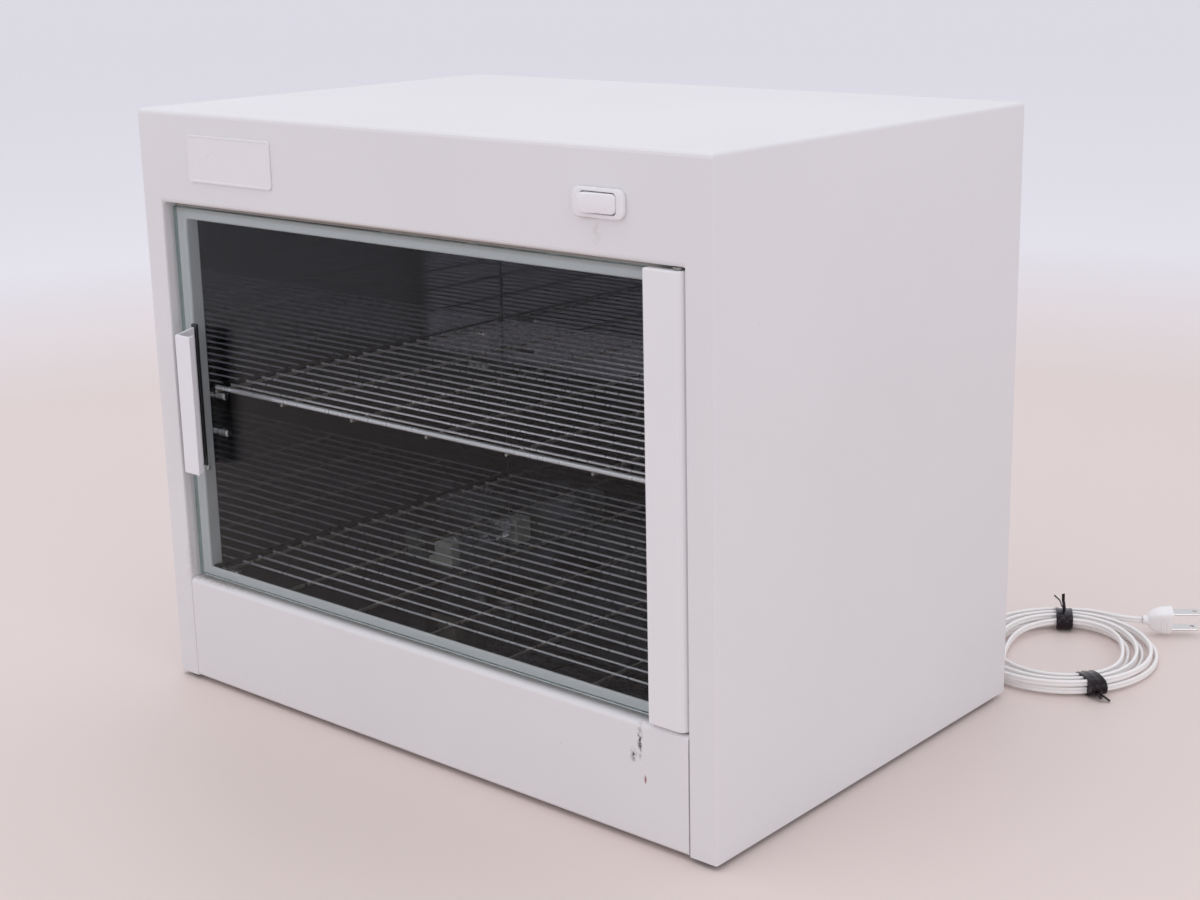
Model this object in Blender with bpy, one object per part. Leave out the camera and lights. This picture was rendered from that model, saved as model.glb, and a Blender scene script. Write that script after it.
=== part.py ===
"""Ultraviolet sterilizer cabinet.

Metres, +Z up, +X to the right as seen from the front, +Y to the back. The origin lies on the
surface that the feet stand on, under the middle of the cabinet. Sizes below that run along Y
are measured from the front plane of the casing, where the empty cabinet_frame stands.
"""

import math

import bmesh
import bpy
import numpy as np
from mathutils import Vector

# Clearances that all pieces share
GAP = 0.0003
RUNNING_FIT = 0.00005
OVERRUN = 0.003
MERGE_SHARE = 0.01
SMOOTH_TURN = math.radians(35.0)
EDGE_TURN = math.radians(30.0)
MILLIMETRES = 1000
FINE_EDGE = 0.0004

# Casing, folded from one sheet
CASING_WIDTH = 0.440
CASING_DEPTH = 0.293
CASING_HEIGHT = 0.363
SHEET = 0.001
FOLD_RADIUS = 0.002
FOLD_STEPS = 3
SIDE_STRIP = 0.0178
FASCIA = 0.0557

# Kick panel with its rolled lip and ledge
LEDGE_TOP = 0.0697
LIP_RADIUS = 0.0033
LIP_STEPS = 5
KICK_FLANGE = 0.012

# Frame that the door closes against
LANDING_Y = 0.0106
LANDING_JAMB = 0.0093
LANDING_HEAD = 0.0108
LANDING_SILL_RISE = 0.0072
LANDING_RETURN = 0.0088
LANDING_MARGIN = 0.010
LANDING_FOLD = 0.0015
LANDING_FOOT = 0.008

# Polished chamber
LINER_SHEET = 0.0008
LINER_FLANGE = 0.010
CHAMBER_BACK_ROOM = 0.0092
CHAMBER_FLOOR = 0.0090

# Base, back and feet
BASE_FLANGE = 0.010
REAR_RECESS = 0.0005
REAR_FLANGE = 0.008
VENT_COUNT = 8
VENT_LENGTH = 0.026
VENT_WIDTH = 0.003
VENT_PITCH = 0.008
VENT_SHARE = 0.5
VENT_FROM_TOP = 0.031
FOOT_HEIGHT = 0.003
FOOT_RADIUS = 0.009
FOOT_EDGE = 0.0008
FOOT_INSET_X = 0.030
FOOT_INSET_Y = 0.030
FOOT_SIDES = 16

# Glass door
GLASS_Y = 0.0044
GLASS_THICKNESS = 0.004
GLASS_ROOM_LEFT = 0.0042
GLASS_ROOM_BELOW = 0.0024
GLASS_ROOM_ABOVE = 0.0026

# Hinge stile on the right end of the glass
STILE_WIDTH = 0.0242
STILE_ROOM = 0.0008
STILE_ROOM_BELOW = 0.0012
STILE_ROOM_ABOVE = 0.0018
STILE_PROUD = 0.0015
STILE_THICKNESS = 0.0108
STILE_EDGE = 0.0008
REBATE_WIDTH = 0.0125
ROUND_STEPS = 12

# Door pins and the plates that they turn in
PIN_RADIUS = 0.0015
PIN_SIDES = 24
PIN_IN_STILE = 0.010
PIN_PAST_PLATE = 0.001
COLLAR_RADIUS = 0.003
PLATE_THICKNESS = 0.002
PLATE_FRONT = 0.0016
PLATE_WEB = 0.002
PLATE_DROP = 0.0025
PLATE_WIDTH = 0.018

# Door pull
GRIP_FROM_EDGE = 0.0138
GRIP_WIDTH = 0.0139
GRIP_STAND_OFF = 0.016
GRIP_WALL = 0.0018
GRIP_LIP = 0.004
GRIP_LENGTH = 0.0867
GRIP_HEIGHT_SHARE = 0.4947
GRIP_RAKE = 0.0033
GRIP_EDGE = 0.0005
GRIP_BASE_THICKNESS = 0.0017
GRIP_BASE_FROM_EDGE = 0.0118
GRIP_BASE_WIDTH = 0.0054
GRIP_BASE_MARGIN = 0.0015

# Plate on the fascia
PLATE_FROM_SIDE = 0.0475
PLATE_FROM_TOP = 0.0130
PLATE_LENGTH = 0.0748
PLATE_HEIGHT = 0.0280
PLATE_CORNER = 0.0025
PLATE_DEPTH = 0.0006

# Rocker switch
SWITCH_FROM_SIDE = 0.0698
SWITCH_FROM_TOP = 0.0283
BEZEL_LENGTH = 0.0332
BEZEL_HEIGHT = 0.0150
BEZEL_DEPTH = 0.0018
BEZEL_CORNER = 0.0045
CORNER_STEPS = 5
ROCKER_LENGTH = 0.0226
ROCKER_HEIGHT = 0.0096
ROCKER_STAND = 0.0030
ROCKER_DIP = 0.0008
ROCKER_DEPTH = 0.0045
ROCKER_TILT = math.radians(7.0)
ROCKER_PIVOT_Y = 0.0015
ROCKER_ROOM = 0.0010
SWITCH_WALL = 0.0010
SWITCH_BODY_DEPTH = 0.0200
POCKET_DEPTH = 0.0100

# Wire shelves
SHELF_BELOW_SILL = 0.0022
SHELF_UPPER_SHARE = 0.5274
SHELF_WIRE_RADIUS = 0.0010
SHELF_SIDE_ROOM = 0.0037
SHELF_BACK_ROOM = 0.0015
SHELF_WIRE_COUNT = 21
SHELF_WIRE_FIRST = 0.0333
SHELF_ROD_RADIUS = 0.00135
SHELF_ROD_COUNT = 7
SHELF_ROD_INSET = 0.0022
SHELF_ROD_FRONT = 0.0160
SHELF_FRONT_ROD_Y = 0.0220
SHELF_FRONT_ROD_RADIUS = 0.00165
SHELF_WELD = 0.00025
SHELF_WIRE_SIDES = 6

# Pegs that carry the shelves
PEG_RADIUS = 0.0025
PEG_LENGTH = 0.0085
PEG_EDGE = 0.0005
PEG_SIDES = 10
PEG_FRONT_Y = 0.0255
PEG_BACK_ROOM = 0.0258
PEG_SPARE_DROP = 0.0296

# Lamp
LAMP_FROM_WALL = 0.0139
LAMP_Z = 0.0405
LAMP_RADIUS = 0.0078
LAMP_CAP_RADIUS = 0.0082
LAMP_CAP_LENGTH = 0.0045
LAMP_SIDES = 20
CAP_EDGE_TURN = math.radians(60.0)
HOLDER_FROM_WALL = 0.0066
HOLDER_WIDTH = 0.0169
HOLDER_BOTTOM = 0.0276
HOLDER_TOP = 0.0461
HOLDER_ARM = 0.0055
HOLDER_EDGE = 0.0010
LAMP_SPAN = 0.0678
FRONT_HOLDER_DEPTH = 0.0088
REAR_HOLDER_ROOM = 0.0158

# Ballast and terminal block above the chamber
BALLAST_LENGTH = 0.110
BALLAST_WIDTH = 0.038
BALLAST_HEIGHT = 0.028
BALLAST_TAB = 0.012
BALLAST_TAB_THICKNESS = 0.0015
BALLAST_X = -0.060
BALLAST_BACK_ROOM = 0.133
BLOCK_LENGTH = 0.045
BLOCK_WIDTH = 0.018
BLOCK_HEIGHT = 0.014
BLOCK_X = 0.060
BLOCK_GROOVE = 0.003
BLOCK_POLES = 4

# Mains cord with its gland
CORD_DIAMETER = 0.0044
CORD_SIDES_RESOLUTION = 2
COIL_SIDES_RESOLUTION = 1
GLAND_FLANGE_RADIUS = 0.0085
GLAND_FLANGE = 0.0022
GLAND_WAIST = 0.0052
GLAND_HEAD = 0.0068
GLAND_HEAD_LENGTH = 0.004
GLAND_SNOUT = 0.020
GLAND_SNOUT_RADIUS = 0.0031
GLAND_SIDES = 20
GLAND_Z = 0.024
LEAD_ROUTE = [(0.0080, 0.0238), (0.0150, 0.0214), (0.0220, 0.0162), (0.0290, 0.0102), (0.0360, 0.0052)]

# Coil of cord behind the cabinet, in two layers, drawn together at two ties
COIL_INSIDE_SIDE = 0.0010
COIL_BEHIND = 0.0790
COIL_MEAN_RADIUS = 0.0540
COIL_OVAL_SHARE = 0.1
COIL_LONG_ANGLE = math.radians(-72.0)
COIL_BUNCH_SPAN = 0.0175
COIL_FAN_SPAN = 0.0280
COIL_LAYER = 0.0050
COIL_LOOPS_PER_LAYER = 3
COIL_POINTS_PER_LOOP = 24
COIL_START_ANGLE = math.radians(180.0)
COIL_END_ANGLE = math.radians(98.0)
CUTS_PER_STEP = 6
SAME_TURN_SHARE = 4
TIE_FAR_ANGLE = math.radians(117.0)
TIE_NEAR_ANGLE = math.radians(-45.0)
TIE_THICKNESS = 0.0008
TIE_WIDTH = 0.011
TIE_ROOM = 0.0018
TIE_CORNER_SHARE = 0.8
TIE_CORNER_STEPS = 4

# Plug
PLUG_RIGHT_OF_COIL = 0.0223
PLUG_BEHIND_COIL = 0.0690
PLUG_Z = 0.0112
PLUG_TURN = math.radians(37.4)
PLUG_ROLL = math.radians(18.0)
PLUG_RELIEF_LENGTH = 0.004
PLUG_RELIEF_RADIUS = 0.0034
PLUG_BODY_LENGTH = 0.0154
PLUG_BODY_HEIGHT = 0.0190
PLUG_BODY_REAR_HEIGHT = 0.0130
PLUG_BODY_WIDTH = 0.0110
PLUG_EDGE = 0.0015
BLADE_LENGTH = 0.0176
BLADE_WIDTH = 0.0063
BLADE_THICKNESS = 0.0015
BLADE_SPACING = 0.0127
BLADE_ROOT = 0.005
BLADE_HOLE_RADIUS = 0.0015
BLADE_HOLE_FROM_TIP = 0.0035
BLADE_HOLE_SIDES = 12

# Finishes: colour, roughness, metallic share, share of light let through
FINISHES = {
    "white_paint": ((0.74, 0.72, 0.73), 0.45, 0.0, 0.0),
    "pull_white": ((0.80, 0.79, 0.80), 0.35, 0.0, 0.0),
    "white_moulding": ((0.82, 0.81, 0.82), 0.30, 0.0, 0.0),
    "door_glass": ((0.35, 0.42, 0.41), 0.02, 0.0, 1.0),
    "polished_steel": ((0.62, 0.62, 0.62), 0.08, 1.0, 0.0),
    "shelf_wire": ((0.70, 0.70, 0.70), 0.22, 1.0, 0.0),
    "plated_steel": ((0.60, 0.60, 0.58), 0.35, 1.0, 0.0),
    "black_rubber": ((0.02, 0.02, 0.02), 0.60, 0.0, 0.0),
    "lamp_glass": ((0.80, 0.84, 0.86), 0.10, 0.0, 0.0),
    "lamp_socket": ((0.72, 0.76, 0.66), 0.45, 0.0, 0.0),
    "cord_white": ((0.80, 0.79, 0.76), 0.45, 0.0, 0.0),
    "tie_black": ((0.02, 0.018, 0.018), 0.25, 0.0, 0.0),
}

# Places worked out from the sizes above
CASING_HALF = CASING_WIDTH / 2
CASING_BOTTOM = FOOT_HEIGHT
CASING_TOP = FOOT_HEIGHT + CASING_HEIGHT
INNER_HALF = CASING_HALF - SHEET
OPENING_HALF = CASING_HALF - SIDE_STRIP
OPENING_TOP = CASING_TOP - FASCIA
LANDING_HALF = OPENING_HALF - LANDING_JAMB
LANDING_TOP = OPENING_TOP - LANDING_HEAD
LANDING_SILL = LEDGE_TOP + LANDING_SILL_RISE
CHAMBER_BACK = CASING_DEPTH - CHAMBER_BACK_ROOM
VENT_X = CASING_HALF * VENT_SHARE
VENT_Z = CASING_TOP - VENT_FROM_TOP
GLASS_LEFT = GLASS_ROOM_LEFT - OPENING_HALF
GLASS_BOTTOM = LEDGE_TOP + GLASS_ROOM_BELOW
GLASS_TOP = OPENING_TOP - GLASS_ROOM_ABOVE
STILE_RIGHT = OPENING_HALF - STILE_ROOM
STILE_LEFT = STILE_RIGHT - STILE_WIDTH
STILE_BOTTOM = LEDGE_TOP + STILE_ROOM_BELOW
STILE_TOP = OPENING_TOP - STILE_ROOM_ABOVE
GRIP_FRONT_X = GLASS_LEFT + GRIP_FROM_EDGE
GRIP_MIDDLE = GLASS_BOTTOM + (GLASS_TOP - GLASS_BOTTOM) * GRIP_HEIGHT_SHARE
GRIP_BOTTOM = GRIP_MIDDLE - GRIP_LENGTH / 2
GRIP_TOP = GRIP_MIDDLE + GRIP_LENGTH / 2
GRIP_BASE_LEFT = GLASS_LEFT + GRIP_BASE_FROM_EDGE
GRIP_BASE_RIGHT = GRIP_BASE_LEFT + GRIP_BASE_WIDTH
PLATE_LEFT = PLATE_FROM_SIDE - CASING_HALF
PLATE_RIGHT = PLATE_LEFT + PLATE_LENGTH
PLATE_HIGH = CASING_TOP - PLATE_FROM_TOP
PLATE_LOW = PLATE_HIGH - PLATE_HEIGHT
SWITCH_X = CASING_HALF - SWITCH_FROM_SIDE
SWITCH_Z = CASING_TOP - SWITCH_FROM_TOP
SHELF_LOWER_Z = LANDING_SILL - SHELF_BELOW_SILL
SHELF_UPPER_Z = SHELF_LOWER_Z + (LANDING_TOP - LANDING_SILL) * SHELF_UPPER_SHARE
SHELF_WIRE_HALF = LANDING_HALF - SHELF_SIDE_ROOM
SHELF_WIRE_PITCH = (CHAMBER_BACK - SHELF_BACK_ROOM - SHELF_WIRE_FIRST) / (SHELF_WIRE_COUNT - 1)
SHELF_ROD_PITCH = 2 * (SHELF_WIRE_HALF - SHELF_ROD_INSET) / (SHELF_ROD_COUNT - 1)
PEG_BACK_Y = CHAMBER_BACK - PEG_BACK_ROOM
PEG_SPARE_Z = SHELF_UPPER_Z - PEG_SPARE_DROP
LAMP_X = LAMP_FROM_WALL - LANDING_HALF
HOLDER_LEFT = HOLDER_FROM_WALL - LANDING_HALF
HOLDER_RIGHT = HOLDER_LEFT + HOLDER_WIDTH
REAR_HOLDER_Y = CHAMBER_BACK - REAR_HOLDER_ROOM
FRONT_HOLDER_Y = REAR_HOLDER_Y - LAMP_SPAN
BALLAST_Y = CASING_DEPTH - BALLAST_BACK_ROOM
COIL_X = CASING_HALF - COIL_INSIDE_SIDE
COIL_Y = CASING_DEPTH + COIL_BEHIND
PLUG_X = COIL_X + PLUG_RIGHT_OF_COIL
PLUG_Y = COIL_Y + PLUG_BEHIND_COIL
REAR_OUTER_Y = CASING_DEPTH - REAR_RECESS
REAR_INNER_Y = REAR_OUTER_Y - SHEET
REAR_FLANGE_Y = REAR_OUTER_Y - REAR_FLANGE
LINER_FOOT = CASING_BOTTOM + GAP + SHEET + GAP
LINER_FRONT = LANDING_Y + LANDING_RETURN + GAP
CEILING_TOP = LANDING_TOP + LINER_SHEET
PIVOT_RADIUS = STILE_THICKNESS / 2
PIVOT_X = STILE_RIGHT - PIVOT_RADIUS
PIVOT_Y = PIVOT_RADIUS - STILE_PROUD
HANDLE_PROUD = GRIP_STAND_OFF - GLASS_Y
GLAND_TIP_Y = REAR_OUTER_Y + GAP + GLAND_FLANGE + GLAND_SNOUT
OVERALL_DEPTH = HANDLE_PROUD + GLAND_TIP_Y
FRAME_Y = HANDLE_PROUD - OVERALL_DEPTH / 2
CORD_RADIUS = CORD_DIAMETER / 2


def lifted(point, along, axis):
    """A point of a flat outline, set at a place along the axis that the outline is square to."""
    a, b = point
    return {"X": (along, a, b), "Y": (a, along, b), "Z": (a, b, along)}[axis]


def add_object(name, mesh, material, parent):
    """Put a mesh in the scene as one named piece, its places read from the cabinet's frame."""
    piece = bpy.data.objects.new(name, mesh)
    bpy.context.scene.collection.objects.link(piece)
    piece.parent = parent
    if parent.parent is not None:
        piece.location = -parent.location
    if material is not None:
        mesh.materials.append(material)
    return piece


def mesh_from(name, bm, recalculate=True):
    """Close a bmesh into a mesh whose faces point outwards."""
    if recalculate:
        bmesh.ops.recalc_face_normals(bm, faces=bm.faces)
    mesh = bpy.data.meshes.new(name)
    bm.to_mesh(mesh)
    bm.free()
    return mesh


def smooth(mesh, angle=SMOOTH_TURN):
    """Shade the round stretches smooth and keep the real edges sharp."""
    mesh.shade_smooth()
    mesh.set_sharp_from_angle(angle=angle)
    return mesh


def prism_mesh(name, outline, low, high, axis):
    """A solid with a flat outline, run along an axis from low to high."""
    bm = bmesh.new()
    face = bm.faces.new([bm.verts.new(lifted(point, low, axis)) for point in outline])
    grown = bmesh.ops.extrude_face_region(bm, geom=[face])["geom"]
    moved = [item for item in grown if isinstance(item, bmesh.types.BMVert)]
    bmesh.ops.translate(bm, verts=moved, vec=lifted((0, 0), high - low, axis))
    return mesh_from(name, bm)


def box_mesh(name, low, high):
    """A box between two corners."""
    corners = [(low[0], low[1]), (high[0], low[1]), (high[0], high[1]), (low[0], high[1])]
    return prism_mesh(name, corners, low[2], high[2], "Z")


def turned_mesh(name, profile, sides):
    """A solid turned about Z from a profile of (radius, height) points on or beside the axis."""
    bm = bmesh.new()
    verts = [bm.verts.new((radius, 0, height)) for radius, height in profile]
    edges = [bm.edges.new(pair) for pair in zip(verts, verts[1:])]
    bmesh.ops.spin(
        bm, geom=verts + edges, axis=(0, 0, 1), cent=(0, 0, 0), angle=math.tau, steps=sides, use_merge=True
    )
    bmesh.ops.remove_doubles(bm, verts=bm.verts, dist=GAP * MERGE_SHARE)
    return smooth(mesh_from(name, bm))


def circle(radius, sides, centre=(0.0, 0.0), start=0.0):
    """Points of a regular outline about a centre."""
    turns = [start + math.tau * step / sides for step in range(sides)]
    return [(centre[0] + radius * math.cos(turn), centre[1] + radius * math.sin(turn)) for turn in turns]


def rounded_outline(low, high, radius, steps):
    """A rectangle between two corners, its own corners rounded."""
    centres = [
        (high[0] - radius, high[1] - radius, 0),
        (low[0] + radius, high[1] - radius, 1),
        (low[0] + radius, low[1] + radius, 2),
        (high[0] - radius, low[1] + radius, 3),
    ]
    points = []
    for x, y, quarter in centres:
        for step in range(steps + 1):
            turn = math.pi / 2 * (quarter + step / steps)
            points.append((x + radius * math.cos(turn), y + radius * math.sin(turn)))
    return points


def bent_path(corners, radii, steps):
    """A line through the corners, each inner corner bent to its radius."""
    path = [Vector(corners[0])]
    for before, corner, after, radius in zip(corners, corners[1:], corners[2:], radii):
        corner = Vector(corner)
        to_before = (Vector(before) - corner).normalized()
        to_after = (Vector(after) - corner).normalized()
        half = to_before.angle(to_after) / 2
        centre = corner + (to_before + to_after).normalized() * radius / math.sin(half)
        first = corner + to_before * radius / math.tan(half) - centre
        last = corner + to_after * radius / math.tan(half) - centre
        for step in range(steps + 1):
            share = step / steps
            spoke = (first * math.cos(share * first.angle(last)) + square_to(first, last)
                     * math.sin(share * first.angle(last)))
            path.append(centre + spoke)
    path.append(Vector(corners[-1]))
    return [(point.x, point.y) for point in path]


def square_to(first, last):
    """The part of a spoke that is square to the first one, as long as it."""
    rest = last - first * first.dot(last) / first.length_squared
    return rest.normalized() * first.length


def thicken(piece, thickness, side=-1.0):
    """Give a folded surface its sheet thickness, on one side of it."""
    solid = piece.modifiers.new("sheet", "SOLIDIFY")
    solid.thickness = thickness
    solid.offset = side
    solid.use_even_offset = True


def folded_strip(name, path, low, high, axis, thickness, side, material, parent):
    """A sheet bent along a path and run along an axis."""
    bm = bmesh.new()
    rows = [[bm.verts.new(lifted(point, along, axis)) for point in path] for along in (low, high)]
    for index in range(len(path) - 1):
        bm.faces.new((rows[0][index], rows[0][index + 1], rows[1][index + 1], rows[1][index]))
    piece = add_object(name, smooth(mesh_from(name, bm, recalculate=False)), material, parent)
    thicken(piece, thickness, side)
    return piece


def bevel(piece, width, steps, limit=EDGE_TURN):
    """Round the edges of a piece that turn by more than the limit."""
    edge = piece.modifiers.new("edges", "BEVEL")
    edge.width = width
    edge.segments = steps
    edge.limit_method = "ANGLE"
    edge.angle_limit = limit
    edge.use_clamp_overlap = True


def boolean(piece, tool_mesh, operation="DIFFERENCE"):
    """Cut a piece with a hidden helper shape, or join the shape to it."""
    tool = add_object(tool_mesh.name, tool_mesh, None, piece.parent)
    tool.hide_render = True
    tool.display_type = "WIRE"
    step = piece.modifiers.new(tool_mesh.name, "BOOLEAN")
    step.operation = operation
    step.solver = "EXACT"
    step.object = tool


def principled(name, colour, roughness, metallic, transmission):
    """A plain material from the colour and finish that the photograph shows."""
    material = bpy.data.materials.new(name)
    material.use_nodes = True
    shader = material.node_tree.nodes["Principled BSDF"]
    shader.inputs["Base Color"].default_value = (*colour, 1.0)
    shader.inputs["Roughness"].default_value = roughness
    shader.inputs["Metallic"].default_value = metallic
    shader.inputs["Transmission Weight"].default_value = transmission
    material.diffuse_color = (*colour, 1.0)
    material.roughness = roughness
    material.metallic = metallic
    return material


def make_materials():
    """One material for each finish of the cabinet."""
    return {name: principled(name, *finish) for name, finish in FINISHES.items()}


def frame_empty(name, location, parent=None):
    """An empty that pieces are set from, standing on a joint's axis where it has one."""
    empty = bpy.data.objects.new(name, None)
    bpy.context.scene.collection.objects.link(empty)
    empty.location = location
    empty.parent = parent
    return empty


def corner_pair(bm, half, y, z):
    """A left and a right corner of a sheet, kept by side."""
    return {side: bm.verts.new((side * half, y, z)) for side in (-1, 1)}


def fill_sheet(bm, across, sided):
    """Faces that run across the sheet, and faces given once that either side has in mirror image."""
    for corners in across:
        bm.faces.new(corners)
    for side in (-1, 1):
        for rim in sided:
            corners = [pair[side] for pair in rim]
            bm.faces.new(corners if side < 0 else corners[::-1])


def make_outer_casing(material, frame):
    """Top, sides and front of one sheet, with folds running back round the door opening."""
    bm = bmesh.new()
    low = corner_pair(bm, CASING_HALF, 0, CASING_BOTTOM)
    high = corner_pair(bm, CASING_HALF, 0, CASING_TOP)
    low_back = corner_pair(bm, CASING_HALF, CASING_DEPTH, CASING_BOTTOM)
    high_back = corner_pair(bm, CASING_HALF, CASING_DEPTH, CASING_TOP)
    door_low = corner_pair(bm, OPENING_HALF, 0, CASING_BOTTOM)
    door_high = corner_pair(bm, OPENING_HALF, 0, OPENING_TOP)
    fold_low = corner_pair(bm, OPENING_HALF, LANDING_Y - GAP, CASING_BOTTOM)
    fold_high = corner_pair(bm, OPENING_HALF, LANDING_Y - GAP, OPENING_TOP)
    across = [(high[-1], door_high[-1], door_high[1], high[1]),
              (high[-1], high[1], high_back[1], high_back[-1]),
              (door_high[-1], fold_high[-1], fold_high[1], door_high[1])]
    sided = [(low, door_low, door_high, high), (low, high, high_back, low_back),
             (door_low, fold_low, fold_high, door_high)]
    fill_sheet(bm, across, sided)
    sheet = smooth(mesh_from("outer_casing", bm, recalculate=False))
    casing = add_object("outer_casing", sheet, material, frame)
    bevel(casing, FOLD_RADIUS, FOLD_STEPS)
    thicken(casing, SHEET)
    low_corner, high_corner = switch_box(SWITCH_WALL + GAP)
    boolean(casing, box_mesh("switch_cutout", (low_corner[0], -OVERRUN, low_corner[1]),
                             (high_corner[0], OVERRUN, high_corner[1])))
    boolean(casing, pin_hole_mesh("casing_pin_hole", PIN_RADIUS + GAP, OPENING_TOP - OVERRUN / 2,
                                  OPENING_TOP + SHEET + OVERRUN / 2))
    return casing


def switch_box(room):
    """Low and high corners, across the fascia, of the rocker's pocket grown by some room."""
    half_length = ROCKER_LENGTH / 2 + ROCKER_ROOM + room
    half_height = ROCKER_HEIGHT / 2 + GAP + room
    return (SWITCH_X - half_length, SWITCH_Z - half_height), (SWITCH_X + half_length, SWITCH_Z + half_height)


def pin_hole_mesh(name, radius, low, high):
    """A cutter on the door's axis that leaves a round hole of at least the radius."""
    outer = radius / math.cos(math.pi / PIN_SIDES)
    return prism_mesh(name, circle(outer, PIN_SIDES, (PIVOT_X, PIVOT_Y)), low, high, "Z")


def make_kick_panel(material, frame):
    """Panel below the door: folded under at its foot, rolled over at its top into the ledge."""
    corners = [(KICK_FLANGE, CASING_BOTTOM), (0, CASING_BOTTOM), (0, LEDGE_TOP), (LANDING_Y - GAP, LEDGE_TOP)]
    path = bent_path(corners, [FOLD_RADIUS, LIP_RADIUS], LIP_STEPS)
    half = OPENING_HALF - GAP
    panel = folded_strip("kick_panel", path, -half, half, "X", SHEET, 1, material, frame)
    boolean(panel, pin_hole_mesh("ledge_pin_hole", PIN_RADIUS + GAP, LEDGE_TOP - SHEET - OVERRUN / 2,
                                 LEDGE_TOP + OVERRUN / 2))
    return panel


def make_landing_frame(material, frame):
    """Flat ring behind the opening, folded back along its jambs and head, plain at the sill."""
    outer_half = OPENING_HALF + LANDING_MARGIN
    back = LANDING_Y + LANDING_RETURN
    bm = bmesh.new()
    outer_low = corner_pair(bm, outer_half, LANDING_Y, LANDING_FOOT)
    outer_high = corner_pair(bm, outer_half, LANDING_Y, OPENING_TOP + LANDING_MARGIN)
    inner_low = corner_pair(bm, LANDING_HALF, LANDING_Y, LANDING_SILL)
    inner_high = corner_pair(bm, LANDING_HALF, LANDING_Y, LANDING_TOP)
    back_low = corner_pair(bm, LANDING_HALF, back, LANDING_SILL)
    back_high = corner_pair(bm, LANDING_HALF, back, LANDING_TOP)
    across = [(outer_high[-1], inner_high[-1], inner_high[1], outer_high[1]),
              (outer_low[1], inner_low[1], inner_low[-1], outer_low[-1]),
              (inner_high[-1], back_high[-1], back_high[1], inner_high[1])]
    sided = [(outer_low, inner_low, inner_high, outer_high), (inner_low, back_low, back_high, inner_high)]
    fill_sheet(bm, across, sided)
    sheet = smooth(mesh_from("landing_frame", bm, recalculate=False))
    ring = add_object("landing_frame", sheet, material, frame)
    bevel(ring, LANDING_FOLD, FOLD_STEPS)
    thicken(ring, SHEET)
    return ring


def make_liner(material, frame):
    """The chamber's five polished panels, each with flanges folded away from the chamber."""
    foot, ceiling = LINER_FOOT, LANDING_TOP
    back_end = REAR_INNER_Y - GAP
    for side, word in ((-1, "left"), (1, "right")):
        outward = side * (LANDING_HALF + LINER_FLANGE)
        wall = side * LANDING_HALF
        top = ceiling - GAP
        path = bent_path([(outward, foot), (wall, foot), (wall, top), (outward, top)],
                         [LANDING_FOLD] * 2, FOLD_STEPS)
        folded_strip("liner_" + word, path, LINER_FRONT, REAR_FLANGE_Y - GAP, "Y", LINER_SHEET, -side,
                     material, frame)
    half = LANDING_HALF - GAP
    path = bent_path([(-half, back_end), (-half, CHAMBER_BACK), (half, CHAMBER_BACK), (half, back_end)],
                     [LANDING_FOLD] * 2, FOLD_STEPS)
    folded_strip("liner_back", path, foot, ceiling - GAP, "Z", LINER_SHEET, -1, material, frame)
    half = LANDING_HALF + LINER_FLANGE
    flange_top = ceiling + LINER_FLANGE
    path = bent_path([(-half, flange_top), (-half, ceiling), (half, ceiling), (half, flange_top)],
                     [LANDING_FOLD] * 2, FOLD_STEPS)
    folded_strip("liner_ceiling", path, LINER_FRONT, back_end, "Y", LINER_SHEET, 1, material, frame)
    front = LANDING_Y + SHEET + GAP
    rear = CHAMBER_BACK - GAP
    path = bent_path([(front, foot), (front, CHAMBER_FLOOR), (rear, CHAMBER_FLOOR), (rear, foot)],
                     [LANDING_FOLD] * 2, FOLD_STEPS)
    half = LANDING_HALF - GAP
    folded_strip("liner_floor", path, -half, half, "X", LINER_SHEET, 1, material, frame)


def make_base_pan(material, frame):
    """Bottom sheet between the sides, its flanges folded up against them."""
    half = INNER_HALF - GAP
    rise = CASING_BOTTOM + BASE_FLANGE
    path = bent_path([(-half, rise), (-half, CASING_BOTTOM), (half, CASING_BOTTOM), (half, rise)],
                     [FOLD_RADIUS] * 2, FOLD_STEPS)
    return folded_strip("base_pan", path, KICK_FLANGE + GAP, REAR_FLANGE_Y - GAP, "Y", SHEET, 1,
                        material, frame)


def make_rear_cover(material, frame):
    """Shallow pan let into the back of the casing, with vents over the chamber and the cord's hole."""
    half = INNER_HALF - GAP
    low = CASING_BOTTOM + GAP
    high = CASING_TOP - SHEET - GAP
    bm = bmesh.new()
    corners = [(half, low), (-half, low), (-half, high), (half, high)]
    back = [bm.verts.new((x, REAR_OUTER_Y, z)) for x, z in corners]
    rim = [bm.verts.new((x, REAR_FLANGE_Y, z)) for x, z in corners]
    bm.faces.new(back)
    for index in range(4):
        following = (index + 1) % 4
        bm.faces.new((back[following], back[index], rim[index], rim[following]))
    cover = add_object("rear_cover", smooth(mesh_from("rear_cover", bm, recalculate=False)), material, frame)
    bevel(cover, FOLD_RADIUS, FOLD_STEPS)
    thicken(cover, SHEET)
    boolean(cover, prism_mesh("cord_hole", circle(GLAND_WAIST + GAP, GLAND_SIDES, (gland_x(), GLAND_Z)),
                              REAR_INNER_Y - OVERRUN, REAR_OUTER_Y + OVERRUN, "Y"))
    for row in range(VENT_COUNT):
        x = VENT_X + (row - (VENT_COUNT - 1) / 2) * VENT_PITCH
        slot = rounded_outline((x - VENT_WIDTH / 2, VENT_Z - VENT_LENGTH / 2),
                               (x + VENT_WIDTH / 2, VENT_Z + VENT_LENGTH / 2), VENT_WIDTH / 2, 2)
        boolean(cover, prism_mesh("vent_%d" % row, slot, REAR_INNER_Y - OVERRUN, REAR_OUTER_Y + OVERRUN, "Y"))
    return cover


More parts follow.
